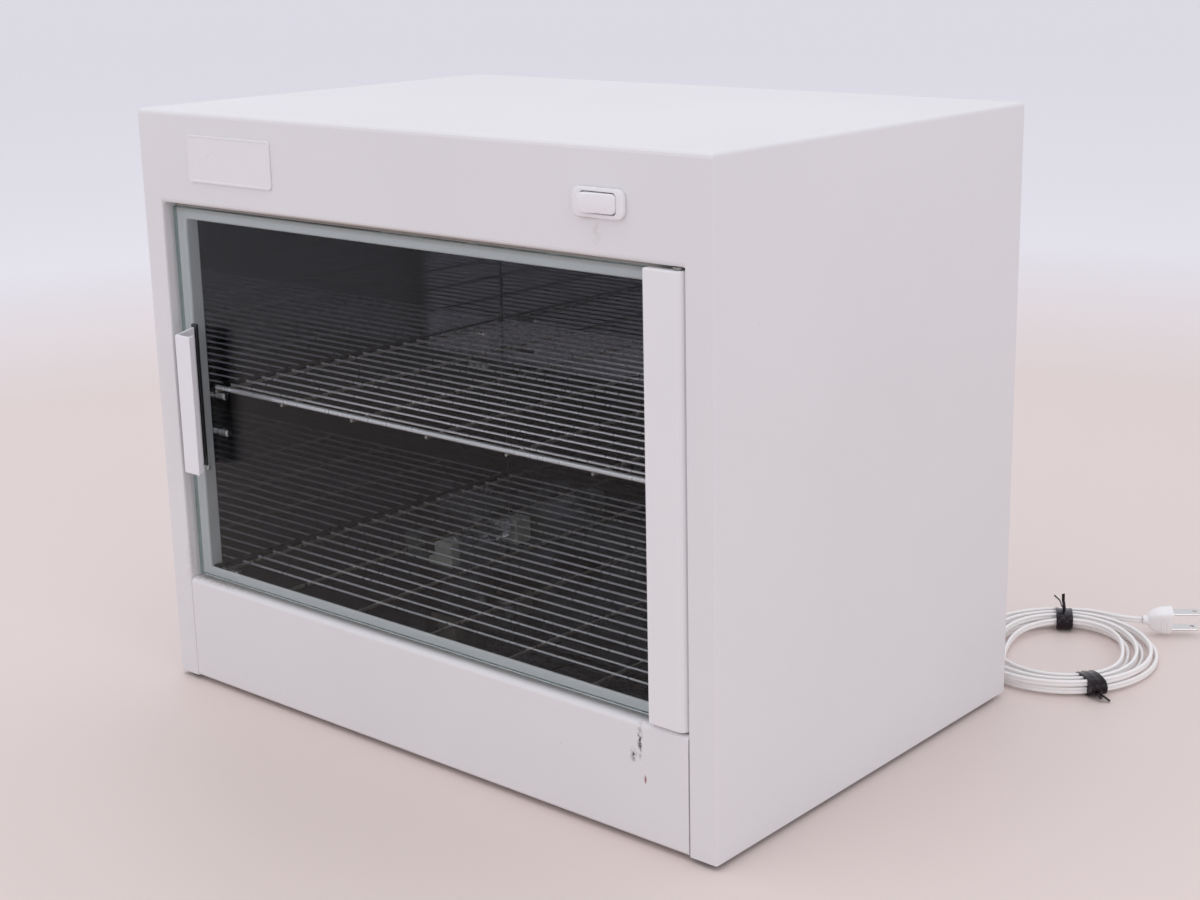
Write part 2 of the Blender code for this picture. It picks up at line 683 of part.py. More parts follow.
def make_feet(material, frame):
    """Four low rubber feet under the base pan."""
    height = FOOT_HEIGHT - GAP
    profile = [(0, height), (FOOT_RADIUS, height), (FOOT_RADIUS, FOOT_EDGE),
               (FOOT_RADIUS - FOOT_EDGE, 0), (0, 0)]
    for side, word in ((-1, "left"), (1, "right")):
        for y, place in ((FOOT_INSET_Y, "front"), (CASING_DEPTH - FOOT_INSET_Y, "rear")):
            name = "foot_%s_%s" % (place, word)
            mesh = turned_mesh(name, profile, FOOT_SIDES)
            foot = add_object(name, mesh, material, frame)
            foot.location = (side * (CASING_HALF - FOOT_INSET_X), y, 0)


def make_hinge_plates(material, frame):
    """Angle brackets that the door's pins turn in, under the ledge and over the opening's head."""
    seats = {"hinge_plate_lower": (LEDGE_TOP - SHEET - GAP, -1),
             "hinge_plate_upper": (OPENING_TOP + SHEET + GAP, 1)}
    for name, (seat, away) in seats.items():
        back = LANDING_Y - GAP
        inner = seat + away * PLATE_DROP
        outer = inner + away * PLATE_THICKNESS
        outline = [(PLATE_FRONT, inner), (back - PLATE_WEB, inner), (back - PLATE_WEB, seat), (back, seat),
                   (back, outer), (PLATE_FRONT, outer)]
        right = OPENING_HALF - GAP
        plate = add_object(name, prism_mesh(name, outline, right - PLATE_WIDTH, right, "X"), material, frame)
        low, high = sorted((inner, outer))
        boolean(plate, pin_hole_mesh(name + "_bore", PIN_RADIUS + RUNNING_FIT, low - OVERRUN / 2,
                                     high + OVERRUN / 2))


def make_door_glass(material, door):
    """Frameless pane with softened edges, its right end let into the stile."""
    right = STILE_LEFT + REBATE_WIDTH - GAP
    mesh = box_mesh("door_glass", (GLASS_LEFT, GLASS_Y, GLASS_BOTTOM),
                    (right, GLASS_Y + GLASS_THICKNESS, GLASS_TOP))
    pane = add_object("door_glass", mesh, material, door)
    bevel(pane, FINE_EDGE, 1)
    return pane


def make_door_stile(material, door):
    """Upright profile on the glass: half round about the pins, with a rebate for the pane."""
    front = -STILE_PROUD
    back = STILE_THICKNESS - STILE_PROUD
    rebate = GLASS_Y - GAP
    arc = [(PIVOT_X + PIVOT_RADIUS * math.cos(turn), PIVOT_Y + PIVOT_RADIUS * math.sin(turn))
           for turn in (math.pi * (step / ROUND_STEPS - 0.5) for step in range(ROUND_STEPS + 1))]
    outline = [(STILE_LEFT, front), *arc, (STILE_LEFT + REBATE_WIDTH, back),
               (STILE_LEFT + REBATE_WIDTH, rebate), (STILE_LEFT, rebate)]
    stile = add_object("door_stile", smooth(prism_mesh("door_stile", outline, STILE_BOTTOM, STILE_TOP, "Z")),
                       material, door)
    bevel(stile, STILE_EDGE, 2)
    radius = PIN_RADIUS + GAP
    boolean(stile, pin_hole_mesh("stile_lower_bore", radius, STILE_BOTTOM - OVERRUN,
                                 STILE_BOTTOM + PIN_IN_STILE + GAP))
    boolean(stile, pin_hole_mesh("stile_upper_bore", radius, STILE_TOP - PIN_IN_STILE - GAP,
                                 STILE_TOP + OVERRUN))
    return stile


def make_door_pins(material, door):
    """Steel pins in the stile's ends, each with a collar that keeps the stile off the casing."""
    reach = SHEET + GAP + PLATE_DROP + PLATE_THICKNESS + PIN_PAST_PLATE
    ends = {"door_pin_lower": (STILE_BOTTOM, LEDGE_TOP, -1), "door_pin_upper": (STILE_TOP, OPENING_TOP, 1)}
    for name, (stile_end, sheet_face, away) in ends.items():
        inner = stile_end - away * PIN_IN_STILE
        outer = sheet_face + away * reach
        near = stile_end + away * GAP
        far = sheet_face - away * GAP
        profile = [(0, inner), (PIN_RADIUS, inner), (PIN_RADIUS, near), (COLLAR_RADIUS, near),
                   (COLLAR_RADIUS, far), (PIN_RADIUS, far), (PIN_RADIUS, outer), (0, outer)]
        pin = add_object(name, turned_mesh(name, profile, PIN_SIDES), material, door)
        pin.location = Vector((PIVOT_X, PIVOT_Y, 0)) - door.location


def make_handle(white, black, door):
    """Folded pull standing in front of the glass, its ends raked, on a flat black base."""
    front = GLASS_Y - GRIP_STAND_OFF
    base_front = GLASS_Y - GAP - GRIP_BASE_THICKNESS
    right = GRIP_FRONT_X + GRIP_WIDTH
    section = [(GRIP_FRONT_X, front), (right, front), (right, front + GRIP_LIP),
               (right - GRIP_WALL, front + GRIP_LIP), (right - GRIP_WALL, front + GRIP_WALL),
               (GRIP_FRONT_X + GRIP_WALL, front + GRIP_WALL),
               (GRIP_FRONT_X + GRIP_WALL, base_front - GAP), (GRIP_FRONT_X, base_front - GAP)]
    mesh = raked_mesh("handle_grip", section, GRIP_BOTTOM, GRIP_TOP, front)
    grip = add_object("handle_grip", mesh, white, door)
    bevel(grip, GRIP_EDGE, 2)
    section = [(GRIP_BASE_LEFT, base_front), (GRIP_BASE_RIGHT, base_front), (GRIP_BASE_RIGHT, GLASS_Y - GAP),
               (GRIP_BASE_LEFT, GLASS_Y - GAP)]
    mesh = raked_mesh("handle_base", section, GRIP_BOTTOM - GRIP_BASE_MARGIN,
                      GRIP_TOP + GRIP_BASE_MARGIN, front)
    base = add_object("handle_base", mesh, black, door)
    bevel(base, FINE_EDGE, 1)


def raked_mesh(name, section, bottom, top, front):
    """A section run upwards whose ends rise towards the back by the pull's rake."""
    mesh = prism_mesh(name, section, bottom, top, "Z")
    for vert in mesh.vertices:
        vert.co.z += GRIP_RAKE * (vert.co.y - front) / GRIP_STAND_OFF
    return mesh


def make_fascia_plate(material, frame):
    """Bare plate on the fascia above the door."""
    outline = rounded_outline((PLATE_LEFT, PLATE_LOW), (PLATE_RIGHT, PLATE_HIGH), PLATE_CORNER, CORNER_STEPS)
    mesh = prism_mesh("fascia_plate", outline, -GAP - PLATE_DEPTH, -GAP, "Y")
    return add_object("fascia_plate", mesh, material, frame)


def make_switch(material, frame, pivot):
    """Switch moulding in the fascia, and the rocker that tilts in its pocket."""
    half_length = BEZEL_LENGTH / 2
    half_height = BEZEL_HEIGHT / 2
    outline = rounded_outline((SWITCH_X - half_length, SWITCH_Z - half_height),
                              (SWITCH_X + half_length, SWITCH_Z + half_height), BEZEL_CORNER,
                              CORNER_STEPS)
    mesh = smooth(prism_mesh("switch_body", outline, -GAP - BEZEL_DEPTH, -GAP, "Y"))
    body = add_object("switch_body", mesh, material, frame)
    bevel(body, FINE_EDGE, 2)
    low, high = switch_box(SWITCH_WALL)
    boolean(body, box_mesh("switch_housing", (low[0], -GAP - BEZEL_DEPTH / 2, low[1]),
                           (high[0], SWITCH_BODY_DEPTH, high[1])), "UNION")
    low, high = switch_box(0)
    boolean(body, box_mesh("rocker_pocket", (low[0], -GAP - BEZEL_DEPTH - OVERRUN, low[1]),
                           (high[0], POCKET_DEPTH, high[1])))
    half = ROCKER_LENGTH / 2
    face = -GAP - BEZEL_DEPTH - ROCKER_STAND
    neutral = [(-half, face), (0, face + ROCKER_DIP), (half, face), (half, 0), (half / 2, ROCKER_DEPTH),
               (-half / 2, ROCKER_DEPTH), (-half, 0)]
    centre = Vector((SWITCH_X, ROCKER_PIVOT_Y))
    outline = []
    for x, y in neutral:
        dx, dy = x, y - ROCKER_PIVOT_Y
        outline.append((centre.x + dx * math.cos(ROCKER_TILT) - dy * math.sin(ROCKER_TILT),
                        centre.y + dx * math.sin(ROCKER_TILT) + dy * math.cos(ROCKER_TILT)))
    mesh = prism_mesh("switch_rocker", outline, SWITCH_Z - ROCKER_HEIGHT / 2,
                      SWITCH_Z + ROCKER_HEIGHT / 2, "Z")
    rocker = add_object("switch_rocker", smooth(mesh), material, pivot)
    bevel(rocker, FINE_EDGE, 2)


def hexagon(radius, a, b):
    """Outline of a wire with a flat side up and one down."""
    return circle(radius, SHELF_WIRE_SIDES, (a, b))


def flat_half(radius):
    """Distance from a wire's middle to its flat side."""
    return radius * math.cos(math.pi / SHELF_WIRE_SIDES)


def bars_mesh(name, bars, axis):
    """Parallel wires in one mesh. Each bar is (radius, a, b, low, high) across and along the axis."""
    bm = bmesh.new()
    for radius, a, b, low, high in bars:
        ends = [[bm.verts.new(lifted(point, along, axis)) for point in hexagon(radius, a, b)]
                for along in (low, high)]
        bm.faces.new(ends[0])
        bm.faces.new(ends[1][::-1])
        for index in range(SHELF_WIRE_SIDES):
            following = (index + 1) % SHELF_WIRE_SIDES
            bm.faces.new((ends[0][following], ends[0][index], ends[1][index], ends[1][following]))
    return smooth(mesh_from(name, bm))


def make_shelf(name, wire_z, front_rod, material, seat):
    """Thin wires welded across seven rods, and on the upper shelf a thick rod along the front."""
    wire_y = [SHELF_WIRE_FIRST + row * SHELF_WIRE_PITCH for row in range(SHELF_WIRE_COUNT)]
    wires = [(SHELF_WIRE_RADIUS, y, wire_z, -SHELF_WIRE_HALF, SHELF_WIRE_HALF) for y in wire_y]
    if front_rod:
        rise = flat_half(SHELF_FRONT_ROD_RADIUS) - flat_half(SHELF_WIRE_RADIUS)
        wires.append((SHELF_FRONT_ROD_RADIUS, SHELF_FRONT_ROD_Y, wire_z + rise,
                      -SHELF_WIRE_HALF, SHELF_WIRE_HALF))
    shelf = add_object(name, bars_mesh(name, wires, "X"), material, seat)
    middle = (SHELF_ROD_COUNT - 1) / 2
    rod_z = rod_height(wire_z)
    rods = [(SHELF_ROD_RADIUS, (row - middle) * SHELF_ROD_PITCH, rod_z, SHELF_ROD_FRONT, wire_y[-1])
            for row in range(SHELF_ROD_COUNT)]
    boolean(shelf, bars_mesh(name + "_rods", rods, "Y"), "UNION")
    return shelf


def rod_height(wire_z):
    """Height of the cross rods' middle, a weld's depth into the wires above them."""
    return wire_z - flat_half(SHELF_WIRE_RADIUS) - flat_half(SHELF_ROD_RADIUS) + SHELF_WELD


def make_pegs(material, frame):
    """Pegs in both side walls: four under each shelf and four spare ones between."""
    under = flat_half(SHELF_ROD_RADIUS) + GAP + PEG_RADIUS
    levels = {"upper": rod_height(SHELF_UPPER_Z) - under, "lower": rod_height(SHELF_LOWER_Z) - under,
              "spare": PEG_SPARE_Z}
    profile = [(0, 0), (PEG_RADIUS, 0), (PEG_RADIUS, PEG_LENGTH - PEG_EDGE),
               (PEG_RADIUS - PEG_EDGE, PEG_LENGTH), (0, PEG_LENGTH)]
    for level, z in levels.items():
        for y, place in ((PEG_FRONT_Y, "front"), (PEG_BACK_Y, "rear")):
            for side, word in ((-1, "left"), (1, "right")):
                name = "peg_%s_%s_%s" % (level, place, word)
                peg = add_object(name, turned_mesh(name, profile, PEG_SIDES), material, frame)
                peg.rotation_euler = (0, -side * math.pi / 2, 0)
                peg.location = (side * (LANDING_HALF - GAP), y, z)


def make_lamp(glass, metal, socket, frame):
    """Lamp between two holders low on the left, its tube running back from the front one."""
    tube_front = FRONT_HOLDER_Y + FRONT_HOLDER_DEPTH + GAP
    tube_back = REAR_HOLDER_Y - GAP
    caps = {"lamp_cap_front": (tube_front, tube_front + LAMP_CAP_LENGTH),
            "lamp_cap_rear": (tube_back - LAMP_CAP_LENGTH, tube_back)}
    for name, (low, high) in caps.items():
        cap = add_object(name, smooth(prism_mesh(name, circle(LAMP_CAP_RADIUS, LAMP_SIDES, (LAMP_X, LAMP_Z)),
                                                 low, high, "Y")), metal, frame)
        bevel(cap, FINE_EDGE, 1, CAP_EDGE_TURN)
    low = tube_front + LAMP_CAP_LENGTH + GAP
    high = tube_back - LAMP_CAP_LENGTH - GAP
    add_object("lamp_tube", smooth(prism_mesh("lamp_tube", circle(LAMP_RADIUS, LAMP_SIDES, (LAMP_X, LAMP_Z)),
                                              low, high, "Y")), glass, frame)
    wall = -LANDING_HALF + GAP
    arm_top = HOLDER_BOTTOM + HOLDER_ARM
    outline = [(wall, HOLDER_BOTTOM), (HOLDER_RIGHT, HOLDER_BOTTOM), (HOLDER_RIGHT, HOLDER_TOP),
               (HOLDER_LEFT, HOLDER_TOP), (HOLDER_LEFT, arm_top), (wall, arm_top)]
    depths = {"lamp_holder_front": (FRONT_HOLDER_Y, FRONT_HOLDER_Y + FRONT_HOLDER_DEPTH),
              "lamp_holder_rear": (REAR_HOLDER_Y, CHAMBER_BACK - GAP)}
    for name, (low, high) in depths.items():
        holder = add_object(name, prism_mesh(name, outline, low, high, "Y"), socket, frame)
        bevel(holder, HOLDER_EDGE, 2)


def make_ballast(metal, moulding, frame):
    """Ballast with its fixing tabs, and the terminal block, on top of the chamber's ceiling."""
    seat = CEILING_TOP + GAP
    half = BALLAST_LENGTH / 2
    tab = half + BALLAST_TAB
    tab_top = seat + BALLAST_TAB_THICKNESS
    top = seat + BALLAST_HEIGHT
    outline = [(BALLAST_X - tab, seat), (BALLAST_X + tab, seat), (BALLAST_X + tab, tab_top),
               (BALLAST_X + half, tab_top), (BALLAST_X + half, top), (BALLAST_X - half, top),
               (BALLAST_X - half, tab_top), (BALLAST_X - tab, tab_top)]
    ballast = add_object("ballast", prism_mesh("ballast", outline, BALLAST_Y - BALLAST_WIDTH / 2,
                                               BALLAST_Y + BALLAST_WIDTH / 2, "Y"), metal, frame)
    bevel(ballast, FINE_EDGE, 1)
    pitch = BLOCK_LENGTH / BLOCK_POLES
    outline = [(BLOCK_X - BLOCK_LENGTH / 2, seat), (BLOCK_X + BLOCK_LENGTH / 2, seat)]
    top = seat + BLOCK_HEIGHT
    for pole in reversed(range(BLOCK_POLES)):
        left = BLOCK_X - BLOCK_LENGTH / 2 + pole * pitch
        right = left + BLOCK_GROOVE
        groove_top = top - BLOCK_GROOVE
        outline += [(left + pitch, top), (right, top), (right, groove_top), (left, groove_top)]
    add_object("terminal_block", prism_mesh("terminal_block", outline, BALLAST_Y - BLOCK_WIDTH / 2,
                                            BALLAST_Y + BLOCK_WIDTH / 2, "Y"), moulding, frame)


def gland_x():
    """The cord leaves the back in line with the start of its coil."""
    return COIL_X - outer_radius(COIL_START_ANGLE)


def fan_share(angle):
    """How far the coil's strands have fanned out at an angle: 0 at either tie, 1 midway between."""
    turn = (angle - TIE_NEAR_ANGLE) % math.tau
    near_arc = (TIE_FAR_ANGLE - TIE_NEAR_ANGLE) % math.tau
    if turn < near_arc:
        return math.sin(math.pi * turn / near_arc) ** 2
    return math.sin(math.pi * (turn - near_arc) / (math.tau - near_arc)) ** 2


def strand_span(angle):
    """Distance between the innermost and the outermost strand's middles."""
    return COIL_BUNCH_SPAN + (COIL_FAN_SPAN - COIL_BUNCH_SPAN) * fan_share(angle)


def mean_radius(angle):
    """Radius of the middle of the strands; the coil is a little longer one way than the other."""
    return COIL_MEAN_RADIUS * (1 + COIL_OVAL_SHARE * math.cos(2 * (angle - COIL_LONG_ANGLE)))


def strand_slant(angle):
    """Angle between the middle of the strands and a circle about the coil's middle."""
    growth = -2 * COIL_MEAN_RADIUS * COIL_OVAL_SHARE * math.sin(2 * (angle - COIL_LONG_ANGLE))
    return math.atan2(growth, mean_radius(angle))


def outer_radius(angle):
    """Radius of the outermost strand's middle."""
    return mean_radius(angle) + strand_span(angle) / 2


def coil_base(angle):
    """Height of the lower layer's strands, lifted at the ties by what passes under them."""
    return CORD_RADIUS + GAP + (TIE_THICKNESS + GAP) * (1 - fan_share(angle))


def coil_points():
    """Middle line of the coil: in towards the centre on the floor, then out again a layer higher."""
    turned_angle = math.tau * 2 * COIL_LOOPS_PER_LAYER + (COIL_START_ANGLE - COIL_END_ANGLE)
    count = round(turned_angle / math.tau * COIL_POINTS_PER_LOOP)
    half_climb = math.pi / 2
    points = []
    for step in range(count + 1):
        turned_by = turned_angle * step / count
        angle = COIL_START_ANGLE - turned_by
        middle = turned_angle / 2
        inward = 1 - abs(turned_by - middle) / middle
        climb = min(max((turned_by - middle + half_climb) / (2 * half_climb), 0), 1)
        climb = climb * climb * (3 - 2 * climb)
        radius = outer_radius(angle) - strand_span(angle) * inward
        points.append(Vector((COIL_X + radius * math.cos(angle), COIL_Y + radius * math.sin(angle),
                              coil_base(angle) + COIL_LAYER * climb)))
    first = (points[0] - points[1]).normalized()
    first = Vector((0, -1, 0)) if abs(first.x) < abs(first.y) else first
    last = (points[-1] - points[-2]).normalized()
    return [points[0] + first * CORD_DIAMETER, *points, points[-1] + last * CORD_DIAMETER]


def least_gap(points, diameter, cuts=CUTS_PER_STEP):
    """Least clear distance of a tube to itself, measured between points along its middle line."""
    line = []
    for start, end in zip(points, points[1:]):
        line += [start.lerp(end, cut / cuts) for cut in range(cuts)]
    line = np.array([tuple(point) for point in line])
    steps = np.linalg.norm(np.diff(line, axis=0), axis=1)
    along = np.concatenate([[0.0], np.cumsum(steps)])
    apart = np.linalg.norm(line[:, None] - line[None, :], axis=2)
    apart[np.abs(along[:, None] - along[None, :]) < SAME_TURN_SHARE * diameter] = np.inf
    return float(apart.min()) - diameter


def smooth_route(places, step):
    """Points read at even steps from a smooth curve through the route's places."""
    places = [Vector(place) for place in places]
    places = [2 * places[0] - places[1], *places, 2 * places[-1] - places[-2]]
    points = []
    for a, b, c, d in zip(places, places[1:], places[2:], places[3:]):
        pieces = max(1, round((c - b).length / step))
        for piece in range(pieces):
            t = piece / pieces
            points.append(0.5 * (2 * b + (c - a) * t + (2 * a - 5 * b + 4 * c - d) * t ** 2
                                 + (3 * b - a - 3 * c + d) * t ** 3))
    return points + [places[-2]]


def tube(name, points, radius, resolution, material, parent):
    """A round cord along points, closed at both ends."""
    curve = bpy.data.curves.new(name, "CURVE")
    curve.dimensions = "3D"
    curve.bevel_depth = radius
    curve.bevel_resolution = resolution
    curve.use_fill_caps = True
    spline = curve.splines.new("POLY")
    spline.points.add(len(points) - 1)
    for target, point in zip(spline.points, points):
        target.co = (*point, 1)
    spline.use_smooth = True
    return add_object(name, curve, material, parent)


def make_cord_gland(material, frame):
    """Cord bushing held in the rear cover, with a tapered snout that eases the cord's bend."""
    inner = REAR_INNER_Y - GAP
    outer = REAR_OUTER_Y + GAP
    tip = outer + GLAND_FLANGE + GLAND_SNOUT
    profile = [(0, inner - GLAND_HEAD_LENGTH), (GLAND_HEAD, inner - GLAND_HEAD_LENGTH), (GLAND_HEAD, inner),
               (GLAND_WAIST, inner), (GLAND_WAIST, outer), (GLAND_FLANGE_RADIUS, outer),
               (GLAND_FLANGE_RADIUS, outer + GLAND_FLANGE), (GLAND_WAIST, outer + GLAND_FLANGE),
               (GLAND_SNOUT_RADIUS, tip), (0, tip)]
    gland = add_object("cord_gland", turned_mesh("cord_gland", profile, GLAND_SIDES), material, frame)
    gland.rotation_euler = (-math.pi / 2, 0, 0)
    gland.location = (gland_x(), 0, GLAND_Z)


def make_cord(material, frame):
    """The cord's lead from the gland, its coil, and the tail that ends in the plug."""
    coil = coil_points()
    print("least gap of the coil to itself: %.2f mm" % (least_gap(coil, CORD_DIAMETER) * MILLIMETRES))
    tube("cord_coil", coil, CORD_RADIUS, COIL_SIDES_RESOLUTION, material, frame)
    x = gland_x()
    start = coil[0]
    seat = GLAND_TIP_Y + GAP
    lead = [(x, seat, GLAND_Z), *[(x, GLAND_TIP_Y + away, z) for away, z in LEAD_ROUTE],
            (x, start.y - CORD_DIAMETER, start.z), (x, start.y - GAP, start.z)]
    route = smooth_route(lead, 2 * CORD_DIAMETER)
    tube("mains_cord", route, CORD_RADIUS, CORD_SIDES_RESOLUTION, material, frame)
    end = coil[-1]
    heading = (coil[-1] - coil[-2]).normalized()
    plug = Vector((PLUG_X, PLUG_Y, PLUG_Z))
    plug_heading = Vector((math.cos(PLUG_TURN), math.sin(PLUG_TURN), 0))
    tail = [end + heading * GAP, end + heading * CORD_DIAMETER, plug - plug_heading * CORD_DIAMETER,
            plug - plug_heading * GAP]
    route = smooth_route(tail, CORD_DIAMETER)
    tube("cord_tail", route, CORD_RADIUS, CORD_SIDES_RESOLUTION, material, frame)


def make_ties(material, frame):
    """Black bands drawn round the coil's strands."""
    for name, angle in (("tie_far", TIE_FAR_ANGLE), ("tie_near", TIE_NEAR_ANGLE)):
        half_width = COIL_BUNCH_SPAN / 2 + CORD_RADIUS + TIE_ROOM
        low = GAP
        high = coil_base(angle) + COIL_LAYER + CORD_RADIUS + GAP + TIE_THICKNESS
        corner = TIE_CORNER_SHARE * (high - low) / 2
        outer = rounded_outline((-half_width - TIE_THICKNESS, low), (half_width + TIE_THICKNESS, high),
                                corner, TIE_CORNER_STEPS)
        inner = rounded_outline((-half_width, low + TIE_THICKNESS), (half_width, high - TIE_THICKNESS),
                                corner - TIE_THICKNESS, TIE_CORNER_STEPS)
        bm = bmesh.new()
        rings = [[bm.verts.new((a, along, b)) for a, b in outline]
                 for outline in (outer, inner) for along in (-TIE_WIDTH / 2, TIE_WIDTH / 2)]
        count = len(outer)
        for index in range(count):
            following = (index + 1) % count
            for one, other in ((0, 1), (1, 3), (3, 2), (2, 0)):
                bm.faces.new((rings[one][index], rings[one][following],
                              rings[other][following], rings[other][index]))
        tie = add_object(name, smooth(mesh_from(name, bm)), material, frame)
        radius = mean_radius(angle)
        tie.rotation_euler = (0, 0, angle - strand_slant(angle))
        tie.location = (COIL_X + radius * math.cos(angle), COIL_Y + radius * math.sin(angle), 0)


def make_plug(moulding, metal, frame):
    """Flat plug lying on its edge, with two blades one above the other."""
    plug = frame_empty("plug_axis", frame.location + Vector((PLUG_X, PLUG_Y, PLUG_Z)))
    plug.rotation_euler = (PLUG_ROLL, 0, PLUG_TURN)
    rear = PLUG_RELIEF_LENGTH
    front = rear + PLUG_BODY_LENGTH
    half_rear = PLUG_BODY_REAR_HEIGHT / 2
    half_front = PLUG_BODY_HEIGHT / 2
    side = [(0, -PLUG_RELIEF_RADIUS), (rear, -PLUG_RELIEF_RADIUS), (rear + PLUG_EDGE, -half_rear),
            (front, -half_front), (front, half_front), (rear + PLUG_EDGE, half_rear),
            (rear, PLUG_RELIEF_RADIUS), (0, PLUG_RELIEF_RADIUS)]
    mesh = prism_mesh("plug_body", side, -PLUG_BODY_WIDTH / 2, PLUG_BODY_WIDTH / 2, "Y")
    for vert in mesh.vertices:
        if vert.co.x <= rear + GAP:
            vert.co.y *= 2 * PLUG_RELIEF_RADIUS / PLUG_BODY_WIDTH
    body = add_object("plug_body", smooth(mesh), moulding, plug)
    bevel(body, PLUG_EDGE, 2)
    for name, level in (("plug_blade_lower", -1), ("plug_blade_upper", 1)):
        z = level * BLADE_SPACING / 2
        low = Vector((front - BLADE_ROOT, -BLADE_WIDTH / 2, z - BLADE_THICKNESS / 2))
        high = Vector((front + BLADE_LENGTH, BLADE_WIDTH / 2, z + BLADE_THICKNESS / 2))
        room = Vector((GAP, GAP, GAP))
        slot_end = Vector((front + OVERRUN, high.y + GAP, high.z + GAP))
        boolean(body, box_mesh(name + "_slot", low - room, slot_end))
        blade = add_object(name, box_mesh(name, low, high), metal, plug)
        bevel(blade, FINE_EDGE, 1)
        hole = circle(BLADE_HOLE_RADIUS, BLADE_HOLE_SIDES, (high.x - BLADE_HOLE_FROM_TIP, 0))
        boolean(blade, prism_mesh(name + "_hole", hole, low.z - OVERRUN / 2, high.z + OVERRUN / 2, "Z"))


def clear_scene():
    """Start from an empty scene."""
    for existing in list(bpy.data.objects):
        bpy.data.objects.remove(existing, do_unlink=True)


def main():
    """Build the cabinet piece by piece."""
    clear_scene()
    finish = make_materials()
    frame = frame_empty("cabinet_frame", (0, FRAME_Y, 0))
    door = frame_empty("door_pivot", (PIVOT_X, PIVOT_Y, STILE_BOTTOM), frame)
    rocker = frame_empty("rocker_pivot", (SWITCH_X, ROCKER_PIVOT_Y, SWITCH_Z), frame)
    upper = frame_empty("upper_shelf_seat", (0, PEG_FRONT_Y, SHELF_UPPER_Z), frame)
    lower = frame_empty("lower_shelf_seat", (0, PEG_FRONT_Y, SHELF_LOWER_Z), frame)
    make_outer_casing(finish["white_paint"], frame)
    make_kick_panel(finish["white_paint"], frame)
    make_landing_frame(finish["white_paint"], frame)
    make_liner(finish["polished_steel"], frame)
    make_base_pan(finish["plated_steel"], frame)
    make_rear_cover(finish["white_paint"], frame)
    make_feet(finish["black_rubber"], frame)
    make_hinge_plates(finish["plated_steel"], frame)
    make_door_glass(finish["door_glass"], door)
    make_door_stile(finish["pull_white"], door)
    make_door_pins(finish["plated_steel"], door)
    make_handle(finish["pull_white"], finish["black_rubber"], door)
    make_fascia_plate(finish["white_moulding"], frame)
    make_switch(finish["white_moulding"], frame, rocker)
    make_shelf("upper_shelf", SHELF_UPPER_Z, True, finish["shelf_wire"], upper)
    make_shelf("lower_shelf", SHELF_LOWER_Z, False, finish["shelf_wire"], lower)
    make_pegs(finish["plated_steel"], frame)
    make_lamp(finish["lamp_glass"], finish["plated_steel"], finish["lamp_socket"], frame)
    make_ballast(finish["plated_steel"], finish["white_moulding"], frame)
    make_cord_gland(finish["cord_white"], frame)
    make_cord(finish["cord_white"], frame)
    make_ties(finish["tie_black"], frame)
    make_plug(finish["cord_white"], finish["plated_steel"], frame)


main()
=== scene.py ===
"""Looks of the ultraviolet sterilizer cabinet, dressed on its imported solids.

Metres, +Z up, +X to the right as seen from the front, +Y to the back. FRONT is the casing's
front plane; places that run to the back are given from it.
"""

import math

import bmesh
import bpy
from mathutils import Matrix, Vector


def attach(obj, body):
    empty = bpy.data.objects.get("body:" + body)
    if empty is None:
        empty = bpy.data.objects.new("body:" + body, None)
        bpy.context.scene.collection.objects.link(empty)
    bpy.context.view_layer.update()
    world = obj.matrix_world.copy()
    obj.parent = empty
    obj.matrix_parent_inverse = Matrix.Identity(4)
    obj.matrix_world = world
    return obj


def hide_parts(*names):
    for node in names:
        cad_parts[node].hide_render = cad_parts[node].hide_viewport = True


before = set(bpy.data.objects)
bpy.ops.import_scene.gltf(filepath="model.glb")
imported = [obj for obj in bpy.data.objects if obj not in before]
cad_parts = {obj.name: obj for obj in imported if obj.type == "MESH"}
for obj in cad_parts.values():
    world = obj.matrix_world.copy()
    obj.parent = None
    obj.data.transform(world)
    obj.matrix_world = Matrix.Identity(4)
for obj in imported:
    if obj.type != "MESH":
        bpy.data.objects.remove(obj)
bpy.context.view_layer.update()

FRONT = -0.1517
COVER_OUTSIDE = FRONT + 0.2925

# Fascia: bare plate, switch surround and rocker, with their half sizes and how far they stand out
PLATE_LOW = Vector((-0.1725, 0.0, 0.3250))
PLATE_HIGH = Vector((-0.0977, 0.0, 0.3530))
PLATE_DEPTH = 0.0009
SWITCH_MIDDLE = Vector((0.1502, 0.0, 0.3377))
SURROUND_HALF = (0.0166, 0.0075)
SURROUND_DEPTH = 0.0021
POCKET_SHARE = 24.2 / 29.8
ROCKER_HALF = (0.0113, 0.0050)
ROCKER_DEPTH = 0.0051
ROCKER_PIVOT_BACK = 0.0015
ROCKER_TILT = math.radians(7)

# Wire shelves, with the wires' places given from the casing's front
SHELF_UPPER = 0.1921
SHELF_LOWER = 0.0747
WIRE_RADIUS = 0.0007
WIRE_HALF = 0.1892
WIRE_COUNT = 21
WIRE_FIRST = 0.0333
WIRE_PITCH = 0.01245
ROD_RADIUS = 0.00105
ROD_DROP = 0.0016
ROD_COUNT = 7
ROD_PITCH = 0.06233
FRONT_ROD_RADIUS = 0.00165
FRONT_ROD_AWAY = 0.0220
FRONT_ROD_RISE = 0.00056
WELD_HALF = (0.0012, 0.0011, 0.0008)
WELD_DROP = 0.00085

# Screws, as (x, height) on the back cover and the one in the left jamb
COVER_SCREWS = [(-0.2000, 0.3520), (0.0, 0.3520), (0.2000, 0.3520), (-0.2070, 0.1850), (0.2070, 0.1850),
                (-0.2000, 0.0190), (0.0, 0.0190), (0.2000, 0.0190)]
SCREW_HEAD = 0.0030
JAMB_SCREW = Vector((-0.1929, FRONT + 0.0147, 0.1413))
JAMB_SCREW_HEAD = 0.0019

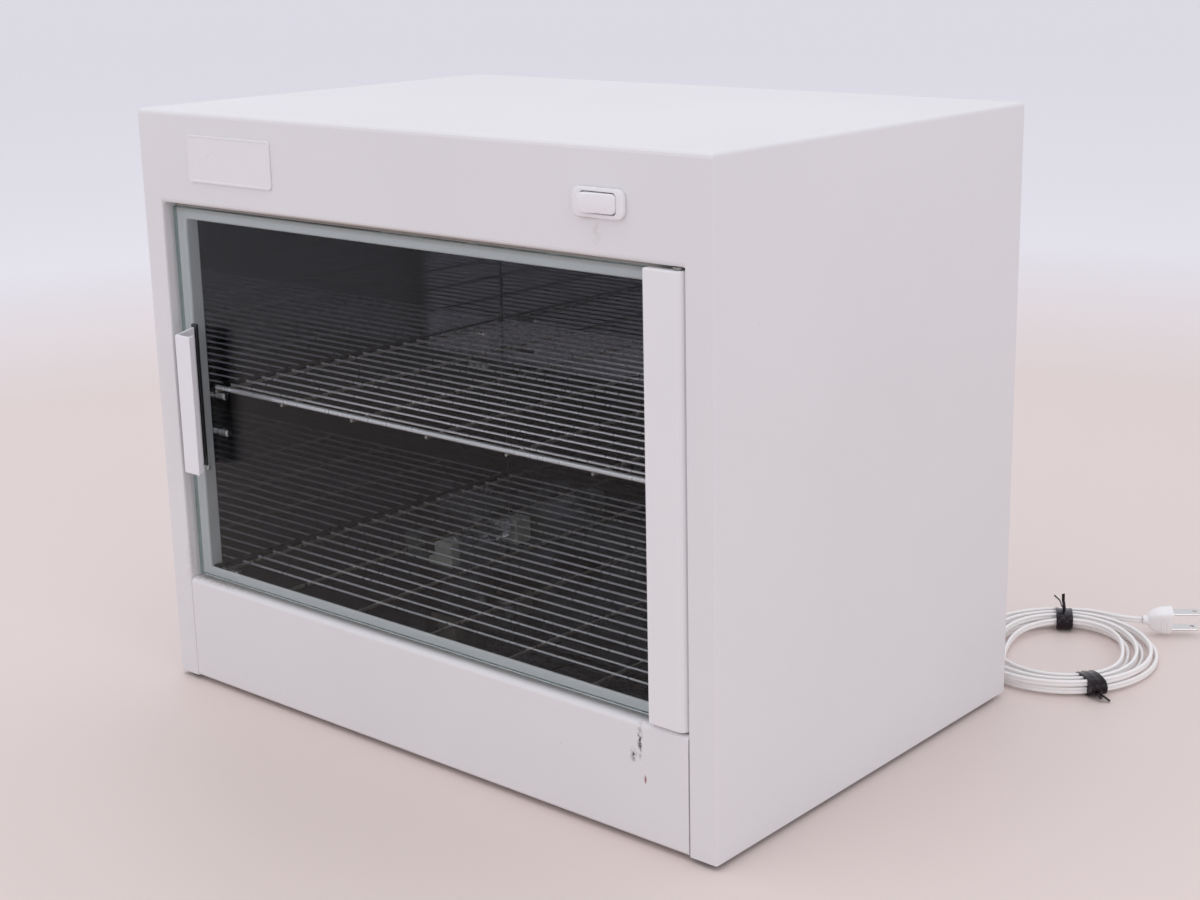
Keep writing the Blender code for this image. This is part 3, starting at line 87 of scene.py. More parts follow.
# Cord and its coil, as in the solids
CORD_WIDTH = 0.0044
COIL_MIDDLE = Vector((0.2190, FRONT + 0.3720, 0.0))
COIL_RADIUS = 0.0540
COIL_OVAL = 0.1
COIL_LONG = math.radians(-72.0)
COIL_BUNCH = 0.0175
COIL_FAN = 0.0280
COIL_LAYER = 0.0050
COIL_LOOPS = 3
COIL_PLACES = 24
COIL_FROM = math.radians(180.0)
COIL_TO = math.radians(98.0)
TIE_FAR = math.radians(117.0)
TIE_NEAR = math.radians(-45.0)
COIL_FLOOR = 0.0025
TIE_LIFT = 0.0011

# Lead from the gland to the coil, as (distance behind the front, height)
GLAND_TIP = 0.3153
GLAND_HEIGHT = 0.024
GLAND_START = FRONT + 0.2928
LEAD_ROUTE = [(0.3230, 0.0238), (0.3300, 0.0214), (0.3370, 0.0162), (0.3440, 0.0102), (0.3510, 0.0052)]

PLUG_REAR = Vector((0.2413, FRONT + 0.4410, 0.0112))
PLUG_TURN = math.radians(37.4)
PLUG_ROLL = math.radians(18.0)

CAMERA_PLACE = (0.76473, FRONT - 0.70699, 0.47037)
CAMERA_AZIMUTH = math.radians(40.4147)
CAMERA_ELEVATION = math.radians(14.7345)
CAMERA_ROLL = math.radians(-1.00505)
LIT_PLACE = (0, 0, 0.2)


# Camera, light and floor

def place_camera():
    """The photograph's view: in front of the right corner, a little above the top."""
    level_share = math.cos(CAMERA_ELEVATION)
    back = Vector((math.sin(CAMERA_AZIMUTH) * level_share, -math.cos(CAMERA_AZIMUTH) * level_share,
                   math.sin(CAMERA_ELEVATION)))
    level = Vector((0, 0, 1)).cross(back).normalized()
    upright = back.cross(level)
    right = math.cos(CAMERA_ROLL) * level + math.sin(CAMERA_ROLL) * upright
    up = math.cos(CAMERA_ROLL) * upright - math.sin(CAMERA_ROLL) * level
    data = bpy.data.cameras.new("camera")
    data.sensor_width = 36
    data.lens = 57.69
    data.shift_x = -0.01964
    data.shift_y = -0.01916
    data.clip_start = 0.02
    camera = bpy.data.objects.new("camera", data)
    turn = Matrix((right, up, back)).transposed().to_4x4()
    camera.matrix_world = Matrix.Translation(CAMERA_PLACE) @ turn
    bpy.context.scene.collection.objects.link(camera)
    bpy.context.scene.camera = camera


def soft_light(name, place, size, watts):
    """A square lamp that faces the cabinet."""
    data = bpy.data.lights.new(name, "AREA")
    data.size = size
    data.energy = watts
    lamp = bpy.data.objects.new(name, data)
    lamp.location = place
    lamp.rotation_euler = (Vector(LIT_PLACE) - Vector(place)).to_track_quat("-Z", "Y").to_euler()
    bpy.context.scene.collection.objects.link(lamp)


def light_studio():
    """An even pale room with a broad light above and softer ones in front and at the right."""
    bpy.context.scene.view_settings.view_transform = "Standard"
    world = bpy.data.worlds.new("room")
    bpy.context.scene.world = world
    world.use_nodes = True
    background = world.node_tree.nodes["Background"]
    background.inputs["Color"].default_value = (0.87, 0.87, 0.935, 1)
    background.inputs["Strength"].default_value = 0.92
    soft_light("light_above", (-0.3, -0.4, 2.4), 2.0, 11)
    soft_light("light_front", (-0.9, -2.2, 1.7), 1.6, 3)
    soft_light("light_right", (2.2, -0.6, 1.5), 1.6, 6)


def lay_floor():
    """A plain pale floor that fades into the room's colour far from the cabinet."""
    bpy.ops.object.select_all(action="DESELECT")
    bpy.ops.mesh.primitive_circle_add(vertices=96, radius=16, fill_type="NGON", location=(0, 0, -0.0002))
    floor = bpy.context.object
    floor.name = "floor"
    material, nodes, links, shader = new_finish("pale_floor", roughness=0.5)
    place = nodes.new("ShaderNodeTexCoord")
    centred = nodes.new("ShaderNodeMapping")
    centred.inputs["Scale"].default_value = (0.42, 0.42, 0.42)
    links.new(place.outputs["Object"], centred.inputs["Vector"])
    falloff = nodes.new("ShaderNodeTexGradient")
    falloff.gradient_type = "SPHERICAL"
    links.new(centred.outputs["Vector"], falloff.inputs["Vector"])
    ramp = nodes.new("ShaderNodeValToRGB")
    ramp.color_ramp.elements[0].color = (0.87, 0.85, 0.88, 1)
    ramp.color_ramp.elements[1].color = (0.76, 0.655, 0.615, 1)
    ramp.color_ramp.elements[0].position = 0.25
    ramp.color_ramp.elements[1].position = 0.60
    links.new(falloff.outputs["Fac"], ramp.inputs["Fac"])
    links.new(ramp.outputs["Color"], shader.inputs["Base Color"])
    floor.data.materials.append(material)


# Finishes

def new_finish(name, colour=None, roughness=0.5, metallic=0.0):
    material = bpy.data.materials.new(name)
    material.use_nodes = True
    tree = material.node_tree
    shader = tree.nodes["Principled BSDF"]
    shader.inputs["Roughness"].default_value = roughness
    shader.inputs["Metallic"].default_value = metallic
    if colour is not None:
        shader.inputs["Base Color"].default_value = (*colour, 1)
    return material, tree.nodes, tree.links, shader


def new_group(name, inputs, outputs):
    """A shared effect: named values in, colours, masks or heights out."""
    tree = bpy.data.node_groups.new(name, "ShaderNodeTree")
    for label, kind, value in inputs:
        socket = tree.interface.new_socket(name=label, in_out="INPUT", socket_type=kind)
        socket.default_value = value
    for label, kind in outputs:
        tree.interface.new_socket(name=label, in_out="OUTPUT", socket_type=kind)
    entry = tree.nodes.new("NodeGroupInput")
    leave = tree.nodes.new("NodeGroupOutput")
    return tree, entry, leave


def put_group(nodes, tree, **values):
    """Place a shared effect in a material, with its own values."""
    node = nodes.new("ShaderNodeGroup")
    node.node_tree = tree
    for label, value in values.items():
        node.inputs[label].default_value = value
    return node


def grain_effect():
    """Fine unevenness of a sprayed or moulded skin: Height for the bump, Tone for slow changes."""
    tree, entry, leave = new_group("skin_grain", [("Size", "NodeSocketFloat", 900.0),
                                                  ("Drift", "NodeSocketFloat", 9.0)],
                                   [("Height", "NodeSocketFloat"), ("Tone", "NodeSocketFloat")])
    nodes, links = tree.nodes, tree.links
    place = nodes.new("ShaderNodeTexCoord")
    fine = nodes.new("ShaderNodeTexNoise")
    fine.inputs["Detail"].default_value = 2
    slow = nodes.new("ShaderNodeTexNoise")
    slow.inputs["Detail"].default_value = 4
    for noise, label in ((fine, "Size"), (slow, "Drift")):
        links.new(place.outputs["Object"], noise.inputs["Vector"])
        links.new(entry.outputs[label], noise.inputs["Scale"])
    links.new(fine.outputs["Fac"], leave.inputs["Height"])
    links.new(slow.outputs["Fac"], leave.inputs["Tone"])
    return tree


def soil_effect():
    """Scattered specks and smudges: Mask is 1 where soil has settled."""
    tree, entry, leave = new_group("settled_soil", [("Size", "NodeSocketFloat", 60.0),
                                                    ("Threshold", "NodeSocketFloat", 0.66),
                                                    ("Softness", "NodeSocketFloat", 0.08)],
                                   [("Mask", "NodeSocketFloat")])
    nodes, links = tree.nodes, tree.links
    place = nodes.new("ShaderNodeTexCoord")
    noise = nodes.new("ShaderNodeTexNoise")
    noise.inputs["Detail"].default_value = 7
    noise.inputs["Roughness"].default_value = 0.62
    links.new(place.outputs["Object"], noise.inputs["Vector"])
    links.new(entry.outputs["Size"], noise.inputs["Scale"])
    upper = nodes.new("ShaderNodeMath")
    links.new(entry.outputs["Threshold"], upper.inputs[0])
    links.new(entry.outputs["Softness"], upper.inputs[1])
    cut = nodes.new("ShaderNodeMapRange")
    links.new(noise.outputs["Fac"], cut.inputs["Value"])
    links.new(entry.outputs["Threshold"], cut.inputs["From Min"])
    links.new(upper.outputs[0], cut.inputs["From Max"])
    links.new(cut.outputs["Result"], leave.inputs["Mask"])
    return tree


def brushing_effect():
    """Drawn lines in metal: Lines runs 0 to 1 across the grain that Stretch lays out."""
    tree, entry, leave = new_group("drawn_lines", [("Stretch", "NodeSocketVector", (4.0, 400.0, 400.0))],
                                   [("Lines", "NodeSocketFloat")])
    nodes, links = tree.nodes, tree.links
    place = nodes.new("ShaderNodeTexCoord")
    stretch = nodes.new("ShaderNodeMapping")
    links.new(place.outputs["Object"], stretch.inputs["Vector"])
    links.new(entry.outputs["Stretch"], stretch.inputs["Scale"])
    noise = nodes.new("ShaderNodeTexNoise")
    noise.inputs["Scale"].default_value = 1
    noise.inputs["Detail"].default_value = 3
    links.new(stretch.outputs["Vector"], noise.inputs["Vector"])
    links.new(noise.outputs["Fac"], leave.inputs["Lines"])
    return tree


def patch_effect():
    """One mark on a surface: Mask is 1 at Middle and falls to 0 over the half sizes in Reach."""
    tree, entry, leave = new_group("local_mark", [("Middle", "NodeSocketVector", (0.0, 0.0, 0.0)),
                                                  ("Reach", "NodeSocketVector", (0.01, 0.01, 0.01))],
                                   [("Mask", "NodeSocketFloat")])
    nodes, links = tree.nodes, tree.links
    place = nodes.new("ShaderNodeTexCoord")
    centre = nodes.new("ShaderNodeVectorMath")
    centre.operation = "SUBTRACT"
    links.new(place.outputs["Object"], centre.inputs[0])
    links.new(entry.outputs["Middle"], centre.inputs[1])
    divide = nodes.new("ShaderNodeVectorMath")
    divide.operation = "DIVIDE"
    links.new(centre.outputs["Vector"], divide.inputs[0])
    links.new(entry.outputs["Reach"], divide.inputs[1])
    falloff = nodes.new("ShaderNodeTexGradient")
    falloff.gradient_type = "SPHERICAL"
    links.new(divide.outputs["Vector"], falloff.inputs["Vector"])
    links.new(falloff.outputs["Fac"], leave.inputs["Mask"])
    return tree


def blend_colour(nodes, links, mask, under, over):
    """Mix two colours, each a plain colour or a socket, by a mask socket."""
    mix = nodes.new("ShaderNodeMix")
    mix.data_type = "RGBA"
    for socket, value in ((mix.inputs["A"], under), (mix.inputs["B"], over)):
        if isinstance(value, bpy.types.NodeSocket):
            links.new(value, socket)
        else:
            socket.default_value = (*value, 1)
    links.new(mask, mix.inputs["Factor"])
    return mix.outputs["Result"]


def product(nodes, links, one, other):
    """A socket times another socket or a plain number."""
    node = nodes.new("ShaderNodeMath")
    node.operation = "MULTIPLY"
    links.new(one, node.inputs[0])
    if isinstance(other, bpy.types.NodeSocket):
        links.new(other, node.inputs[1])
    else:
        node.inputs[1].default_value = other
    return node.outputs[0]


def spread(nodes, links, value, low, high):
    """A socket that runs 0 to 1, led to run from low to high."""
    node = nodes.new("ShaderNodeMapRange")
    links.new(value, node.inputs["Value"])
    node.inputs["To Min"].default_value = low
    node.inputs["To Max"].default_value = high
    return node.outputs["Result"]


def beyond(nodes, links, axis, limit, above):
    """Mask socket: 1 where the piece lies past a limit along one axis."""
    place = nodes.new("ShaderNodeTexCoord")
    parts = nodes.new("ShaderNodeSeparateXYZ")
    links.new(place.outputs["Object"], parts.inputs["Vector"])
    test = nodes.new("ShaderNodeMath")
    test.operation = "GREATER_THAN" if above else "LESS_THAN"
    test.inputs[1].default_value = limit
    links.new(parts.outputs[axis], test.inputs[0])
    return test.outputs[0]


def roughen(nodes, links, shader, height, distance, strength):
    """Raise a height socket as a bump of the surface."""
    bump = nodes.new("ShaderNodeBump")
    bump.inputs["Strength"].default_value = strength
    bump.inputs["Distance"].default_value = distance
    links.new(height, bump.inputs["Height"])
    links.new(bump.outputs["Normal"], shader.inputs["Normal"])


def powder_coat(name, colour, roughness=0.42, threshold=0.72, marks=()):
    """Sprayed white steel: orange-peel skin, slow change of tone, a few specks, and single marks: stains,
    scuffs and painted shade.
    """
    material, nodes, links, shader = new_finish(name)
    grain = put_group(nodes, GRAIN, Size=1300.0, Drift=7.0)
    darker = tuple(part * 0.95 for part in colour)
    paint = blend_colour(nodes, links, spread(nodes, links, grain.outputs["Tone"], -0.3, 1.3), darker, colour)
    specks = put_group(nodes, SOIL, Size=170.0, Threshold=threshold, Softness=0.05)
    paint = blend_colour(nodes, links, product(nodes, links, specks.outputs["Mask"], 0.5), paint, SPECK)
    for middle, reach, tint, depth, broken in marks:
        mask = put_group(nodes, PATCH, Middle=middle, Reach=reach).outputs["Mask"]
        if broken:
            rough_edge = put_group(nodes, SOIL, Size=420.0, Threshold=0.42, Softness=0.2)
            mask = product(nodes, links, mask, rough_edge.outputs["Mask"])
        paint = blend_colour(nodes, links, product(nodes, links, mask, depth), paint, tint)
    links.new(paint, shader.inputs["Base Color"])
    links.new(spread(nodes, links, grain.outputs["Tone"], roughness - 0.06, roughness + 0.08),
              shader.inputs["Roughness"])
    roughen(nodes, links, shader, grain.outputs["Height"], 0.00006, 0.5)
    return material


def moulded(name, colour, roughness, threshold=0.70):
    """Moulded plastic or rubber with a fine skin and a little handling soil."""
    material, nodes, links, shader = new_finish(name)
    grain = put_group(nodes, GRAIN, Size=2200.0, Drift=60.0)
    lighter = tuple(min(part * 1.04 + 0.004, 1.0) for part in colour)
    skin = blend_colour(nodes, links, grain.outputs["Tone"], colour, lighter)
    smudges = put_group(nodes, SOIL, Size=240.0, Threshold=threshold, Softness=0.1)
    skin = blend_colour(nodes, links, product(nodes, links, smudges.outputs["Mask"], 0.35), skin, SMUDGE)
    links.new(skin, shader.inputs["Base Color"])
    links.new(spread(nodes, links, grain.outputs["Tone"], roughness - 0.08, roughness + 0.1),
              shader.inputs["Roughness"])
    roughen(nodes, links, shader, grain.outputs["Height"], 0.00003, 0.6)
    return material


def creased_film(name, colour):
    """Thin shiny film, creased all over."""
    material, nodes, links, shader = new_finish(name, colour, roughness=0.1)
    shader.inputs["IOR"].default_value = 1.35
    creases = put_group(nodes, GRAIN, Size=260.0, Drift=500.0)
    roughen(nodes, links, shader, creases.outputs["Height"], 0.0005, 0.6)
    return material


def bright_metal(name, colour, roughness, metallic=1.0, shaded_below=None):
    """Plated or drawn metal with fine lines and dull spots, and painted shade below a height where one is
    given.
    """
    material, nodes, links, shader = new_finish(name, metallic=metallic)
    lines = put_group(nodes, BRUSHING, Stretch=(300.0, 300.0, 12.0))
    spots = put_group(nodes, SOIL, Size=380.0, Threshold=0.66, Softness=0.12)
    metal = blend_colour(nodes, links, product(nodes, links, spots.outputs["Mask"], 0.5), colour, TARNISH_AND_SHADE)
    if shaded_below is not None:
        # painted shade: the rods and the undersides of wires and welds below the given height are darkened
        # towards the tarnish colour
        under = beyond(nodes, links, "Z", shaded_below, False)
        metal = blend_colour(nodes, links, product(nodes, links, under, 0.9), metal, TARNISH_AND_SHADE)
    links.new(metal, shader.inputs["Base Color"])
    links.new(spread(nodes, links, lines.outputs["Lines"], roughness * 0.6, roughness * 1.6),
              shader.inputs["Roughness"])
    roughen(nodes, links, shader, lines.outputs["Lines"], 0.00001, 0.4)
    return material


def polished_sheet(name, colour):
    """Mirror-polished steel of the chamber, faintly waved and scratched, with dried wipe marks."""
    material, nodes, links, shader = new_finish(name, metallic=1.0)
    grain = put_group(nodes, GRAIN, Size=30.0, Drift=14.0)
    film = put_group(nodes, SOIL, Size=40.0, Threshold=0.50, Softness=0.3)
    metal = blend_colour(nodes, links, product(nodes, links, film.outputs["Mask"], 0.35), colour,
                         tuple(part * 0.7 for part in colour))
    links.new(metal, shader.inputs["Base Color"])
    links.new(spread(nodes, links, film.outputs["Mask"], 0.03, 0.10), shader.inputs["Roughness"])
    roughen(nodes, links, shader, grain.outputs["Height"], 0.0002, 0.25)
    return material


def spangled_sheet(name, colour):
    """Zinc-plated sheet with its pale crystal patches."""
    material, nodes, links, shader = new_finish(name, metallic=1.0)
    place = nodes.new("ShaderNodeTexCoord")
    cells = nodes.new("ShaderNodeTexVoronoi")
    cells.inputs["Scale"].default_value = 90
    links.new(place.outputs["Object"], cells.inputs["Vector"])
    tone = nodes.new("ShaderNodeSeparateColor")
    links.new(cells.outputs["Color"], tone.inputs["Color"])
    metal = blend_colour(nodes, links, tone.outputs["Red"], colour, tuple(part * 0.8 for part in colour))
    links.new(metal, shader.inputs["Base Color"])
    links.new(spread(nodes, links, tone.outputs["Green"], 0.32, 0.5), shader.inputs["Roughness"])
    return material


def clear_glass(name, colour, index=1.5, edges=()):
    """Glass with finger smears that dull it a little, and a deeper tint in its edges where given."""
    material, nodes, links, shader = new_finish(name, colour)
    tinted = colour
    for axis, limit, above in edges:
        rim = beyond(nodes, links, axis, limit, above)
        tinted = blend_colour(nodes, links, rim, tinted, GLASS_RIM)
    if edges:
        links.new(tinted, shader.inputs["Base Color"])
    shader.inputs["Transmission Weight"].default_value = 1.0
    shader.inputs["IOR"].default_value = index
    smears = put_group(nodes, SOIL, Size=22.0, Threshold=0.55, Softness=0.25)
    links.new(spread(nodes, links, smears.outputs["Mask"], 0.01, 0.04), shader.inputs["Roughness"])
    return material


GRAIN = grain_effect()
SOIL = soil_effect()
BRUSHING = brushing_effect()
PATCH = patch_effect()

WHITE = (0.775, 0.76, 0.77)
BROWN = (0.30, 0.20, 0.13)
GLASS_RIM = (0.16, 0.24, 0.22)
SPECK = (0.42, 0.34, 0.27)
SMUDGE = (0.35, 0.30, 0.24)
# tarnish of the dull spots on metal, and also the colour of the painted shade under the shelf wires
TARNISH_AND_SHADE = (0.30, 0.26, 0.22)

# Single marks, stains and scuffs as well as painted shade, as (middle, reach, tint, depth, broken up or even)
CASING_MARKS = [
    ((0.1475, FRONT, 0.3230), (0.0035, 0.004, 0.010), (0.45, 0.38, 0.30), 0.35, True),
    # painted shade: a brown line along the lower edge of the switch surround
    ((0.1420, FRONT, 0.3302), (0.0100, 0.004, 0.0014), (0.42, 0.32, 0.25), 0.8, False),
    ((-0.2023, FRONT, 0.0800), (0.004, 0.006, 0.020), BROWN, 0.3, True),
    # painted shade: a brown band along the fascia's lower edge, above the door opening
    ((-0.010, FRONT + 0.001, 0.3106), (0.205, 0.004, 0.0016), (0.36, 0.27, 0.21), 0.8, False),
]
KICK_MARKS = [
    ((0.1700, FRONT, 0.0600), (0.0020, 0.004, 0.013), (0.02, 0.02, 0.02), 1.6, True),
    ((0.1655, FRONT, 0.0500), (0.0030, 0.004, 0.005), (0.05, 0.04, 0.04), 1.2, True),
    ((0.1735, FRONT, 0.0380), (0.0010, 0.004, 0.003), (0.30, 0.12, 0.12), 1.5, False),
    ((-0.180, FRONT + 0.006, 0.0697), (0.040, 0.008, 0.002), (0.26, 0.14, 0.08), 0.7, True),
    # painted shade with dirt: the recessed ledge between the glass and the kick panel's rolled lip, browned
    # along its length
    ((0.0, FRONT + 0.0085, 0.0697), (0.900, 0.0062, 0.003), (0.40, 0.34, 0.32), 0.8, False),
]
LANDING_SHADE_AND_STAIN = [
    # painted shade with a brown stain: the top of the landing frame just under the fascia's lip, seen through
    # the glass
    ((0.0, FRONT + 0.0106, 0.3090), (0.900, 0.004, 0.0055), (0.30, 0.24, 0.20), 1.0, False),
]
FINISHES = {
    "outer_casing": powder_coat("casing_enamel", WHITE, marks=CASING_MARKS),
    "rear_cover": powder_coat("cover_enamel", WHITE, threshold=0.69),
    "kick_panel": powder_coat("kick_enamel", WHITE, threshold=0.70, marks=KICK_MARKS),
    "door_stile": powder_coat("stile_enamel", (0.82, 0.81, 0.82), roughness=0.38),
    "landing_frame": powder_coat("landing_enamel", (0.86, 0.885, 0.885), roughness=0.34,
                                 marks=LANDING_SHADE_AND_STAIN),
    "handle_grip": powder_coat("grip_enamel", (0.84, 0.83, 0.86), roughness=0.28),
    "handle_base": moulded("black_moulding", (0.012, 0.012, 0.014), roughness=0.3),
    "foot": moulded("black_rubber", (0.02, 0.02, 0.021), roughness=0.6),
    "fascia_plate": moulded("plate_face", (0.78, 0.765, 0.77), roughness=0.3, threshold=0.8),
    "switch": moulded("switch_moulding", (0.80, 0.785, 0.80), roughness=0.26, threshold=0.74),
    "liner": polished_sheet("chamber_polish", (0.235, 0.238, 0.265)),
    "liner_floor": polished_sheet("chamber_floor_polish", (0.17, 0.155, 0.135)),
    "wire_upper": bright_metal("upper_wire", (0.74, 0.73, 0.75), roughness=0.28, metallic=0.65,
                               shaded_below=SHELF_UPPER - 0.0006),
    "wire_lower": bright_metal("lower_wire", (0.70, 0.69, 0.69), roughness=0.28, metallic=0.65,
                               shaded_below=SHELF_LOWER - 0.0006),
    # painted shade: the hinge pin is coloured dark brown to match the shaded gap at the door's top right
    # corner
    "pin": bright_metal("pin_metal", (0.36, 0.34, 0.32), roughness=0.4),
    "plated": bright_metal("plated_steel", (0.74, 0.73, 0.71), roughness=0.25),
    "zinc": spangled_sheet("zinc_sheet", (0.62, 0.63, 0.65)),
    "lamp_cap": bright_metal("lamp_cap_metal", (0.80, 0.80, 0.80), roughness=0.35),
    "lamp_holder": moulded("holder_moulding", (0.93, 0.95, 0.84), roughness=0.3),
    "lamp_tube": clear_glass("lamp_glass", (0.97, 0.98, 1.0)),
    "door_glass": clear_glass("door_tint", (0.86, 0.885, 0.89), index=1.2,
                              edges=[("Z", 0.3073, True), ("Z", 0.0725, False), ("X", -0.1976, False)]),
    "cord": moulded("cord_sheath", (0.90, 0.88, 0.86), roughness=0.42, threshold=0.76),
    "plug": moulded("plug_moulding", (0.88, 0.865, 0.86), roughness=0.38, threshold=0.76),
    "tie": creased_film("tie_film", (0.008, 0.003, 0.006)),
    "terminal_block": moulded("block_moulding", (0.80, 0.78, 0.70), roughness=0.5),
}
NODE_FINISH = {"cord_gland": "plug", "tie_far": "tie", "tie_near": "tie", "cord_coil": "cord",
               "cord_tail": "cord", "mains_cord": "cord", "plug_body": "plug"}
FINISH_STARTS = {"foot_": "foot", "liner_": "liner", "liner_floor": "liner_floor", "peg_": "plated",
                 "door_pin": "pin", "plug_blade": "plated", "hinge_plate": "zinc", "base_pan": "zinc",
                 "ballast": "zinc", "lamp_cap": "lamp_cap", "lamp_holder": "lamp_holder",
                 "switch_": "switch", "upper_shelf": "wire_upper", "lower_shelf": "wire_lower"}


def finish_solids():
    """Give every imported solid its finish, by its own name or by how the name starts."""
    for name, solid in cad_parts.items():
        key = NODE_FINISH.get(name, name)
        for start, finish in FINISH_STARTS.items():
            if name.startswith(start):
                key = finish
        solid.data.materials.clear()
        solid.data.materials.append(FINISHES[key])


# Cord

def fanned(angle):
    """0 at the two ties, where the strands are bunched, and 1 halfway between them."""
    turn = (angle - TIE_NEAR) % math.tau
    arc = (TIE_FAR - TIE_NEAR) % math.tau
    if turn < arc:
        return math.sin(math.pi * turn / arc) ** 2
    return math.sin(math.pi * (turn - arc) / (math.tau - arc)) ** 2


def coil_span(angle):
    """Width of the bundle of strands at an angle round the coil."""
    return COIL_BUNCH + (COIL_FAN - COIL_BUNCH) * fanned(angle)


def coil_mean(angle):
    """Radius of the bundle's middle, on a slightly oval ring."""
    return COIL_RADIUS * (1 + COIL_OVAL * math.cos(2 * (angle - COIL_LONG)))


def coil_slant(angle):
    """Angle between the strands and a circle about the coil's middle."""
    return math.atan2(-2 * COIL_RADIUS * COIL_OVAL * math.sin(2 * (angle - COIL_LONG)), coil_mean(angle))


def coil_route():
    """Places along the coil: in towards the middle on the floor, then out again a layer higher."""
    whole = math.tau * 2 * COIL_LOOPS + (COIL_FROM - COIL_TO)
    count = round(whole / math.tau * COIL_PLACES)
    places = []
    for step in range(count + 1):
        turned = whole * step / count
        angle = COIL_FROM - turned
        inward = 1 - abs(turned - whole / 2) / (whole / 2)
        climb = min(max((turned - whole / 2) / math.pi + 0.5, 0), 1)
        climb = climb * climb * (3 - 2 * climb)
        radius = coil_mean(angle) + coil_span(angle) / 2 - coil_span(angle) * inward
        height = COIL_FLOOR + TIE_LIFT * (1 - fanned(angle)) + COIL_LAYER * climb
        places.append(COIL_MIDDLE + Vector((radius * math.cos(angle), radius * math.sin(angle), height)))
    return places


def eased(places, cuts):
    """More places along the same route, on a smooth curve through the given ones."""
    ends = [2 * places[0] - places[1], *places, 2 * places[-1] - places[-2]]
    route = []
    for a, b, c, d in zip(ends, ends[1:], ends[2:], ends[3:]):
        for cut in range(cuts):
            t = cut / cuts
            route.append(0.5 * (2 * b + (c - a) * t + (2 * a - 5 * b + 4 * c - d) * t ** 2
                                + (3 * b - a - 3 * c + d) * t ** 3))
    return route + [places[-1]]


def swept(start, heading, end, into, steps):
    """Places on a smooth curve that leaves one place and enters another in given directions."""
    reach = (end - start).length
    places = []
    for step in range(1, steps + 1):
        t = step / steps
        places.append((2 * t ** 3 - 3 * t ** 2 + 1) * start + (t ** 3 - 2 * t ** 2 + t) * reach * heading
                      + (3 * t ** 2 - 2 * t ** 3) * end + (t ** 3 - t ** 2) * reach * into)
    return places


def cord_route():
    """Places along the whole cord: down from the gland, round the coil and into the plug."""
    coil = coil_route()[:-1]
    left = coil[0].x
    lead = [Vector((left, FRONT + GLAND_TIP, GLAND_HEIGHT))]
    lead += [Vector((left, FRONT + away, height)) for away, height in LEAD_ROUTE]
    lead += [Vector((left, coil[0].y - CORD_WIDTH * 2, coil[0].z))]
    heading = (coil[-1] - coil[-3]).normalized()
    into_plug = Vector((math.cos(PLUG_TURN), math.sin(PLUG_TURN), 0))
    return eased([*lead, *coil, *swept(coil[-1], heading, PLUG_REAR, into_plug, 4)], 2)


def twin_outline():
    """Section of the flat twin cord: two round cores side by side, standing on edge."""
    core = CORD_WIDTH / 4
    steps = 7
    half = []
    for step in range(steps + 1):
        angle = math.radians(-62 + 304 * step / steps)
        half.append((core * 1.06 * math.cos(angle), core * 0.94 + core * 1.06 * math.sin(angle)))
    return half + [(-across, -up) for across, up in half]


def sweep_cord(name, route):
    """A closed skin of the twin section along the route, its cores one above the other."""
    outline = twin_outline()
    bm = bmesh.new()
    rings = []
    for index, place in enumerate(route):
        ahead = route[min(index + 1, len(route) - 1)] - route[max(index - 1, 0)]
        side = ahead.cross(Vector((0, 0, 1))).normalized()
        up = side.cross(ahead).normalized()
        rings.append([bm.verts.new(place + side * across + up * rise) for across, rise in outline])
    for ring, following in zip(rings, rings[1:]):
        for index in range(len(outline)):
            after = (index + 1) % len(outline)
            bm.faces.new((ring[index], ring[after], following[after], following[index]))
    bm.faces.new(rings[0])
    bm.faces.new(rings[-1])
    bmesh.ops.recalc_face_normals(bm, faces=bm.faces)
    mesh = bpy.data.meshes.new(name)
    bm.to_mesh(mesh)
    bm.free()
    mesh.shade_smooth()
    piece = bpy.data.objects.new(name, mesh)
    bpy.context.scene.collection.objects.link(piece)
    return piece


def lay_cord():
    """The cord in one piece, swept along its route."""
    route = cord_route()
    cord = sweep_cord("twin_cord", route)
    cord.data.materials.append(FINISHES["cord"])
    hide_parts("mains_cord", "cord_coil", "cord_tail")
    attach(cord, "cabinet")


# Modelling steps that the pieces share

def clear_selection():
    """Leave edit mode with nothing selected."""
    if bpy.context.object is not None and bpy.context.object.mode == "EDIT":
        bpy.ops.object.mode_set(mode="OBJECT")
    bpy.ops.object.select_all(action="DESELECT")


def start_box(name, low, high):
    """A box between two corners, ready to be shaped."""
    clear_selection()
    low, high = Vector(low), Vector(high)
    bpy.ops.mesh.primitive_cube_add(size=1, location=(low + high) / 2, scale=high - low)
    piece = bpy.context.object
    piece.name = name
    bpy.ops.object.transform_apply(location=True, rotation=True, scale=True)
    return piece


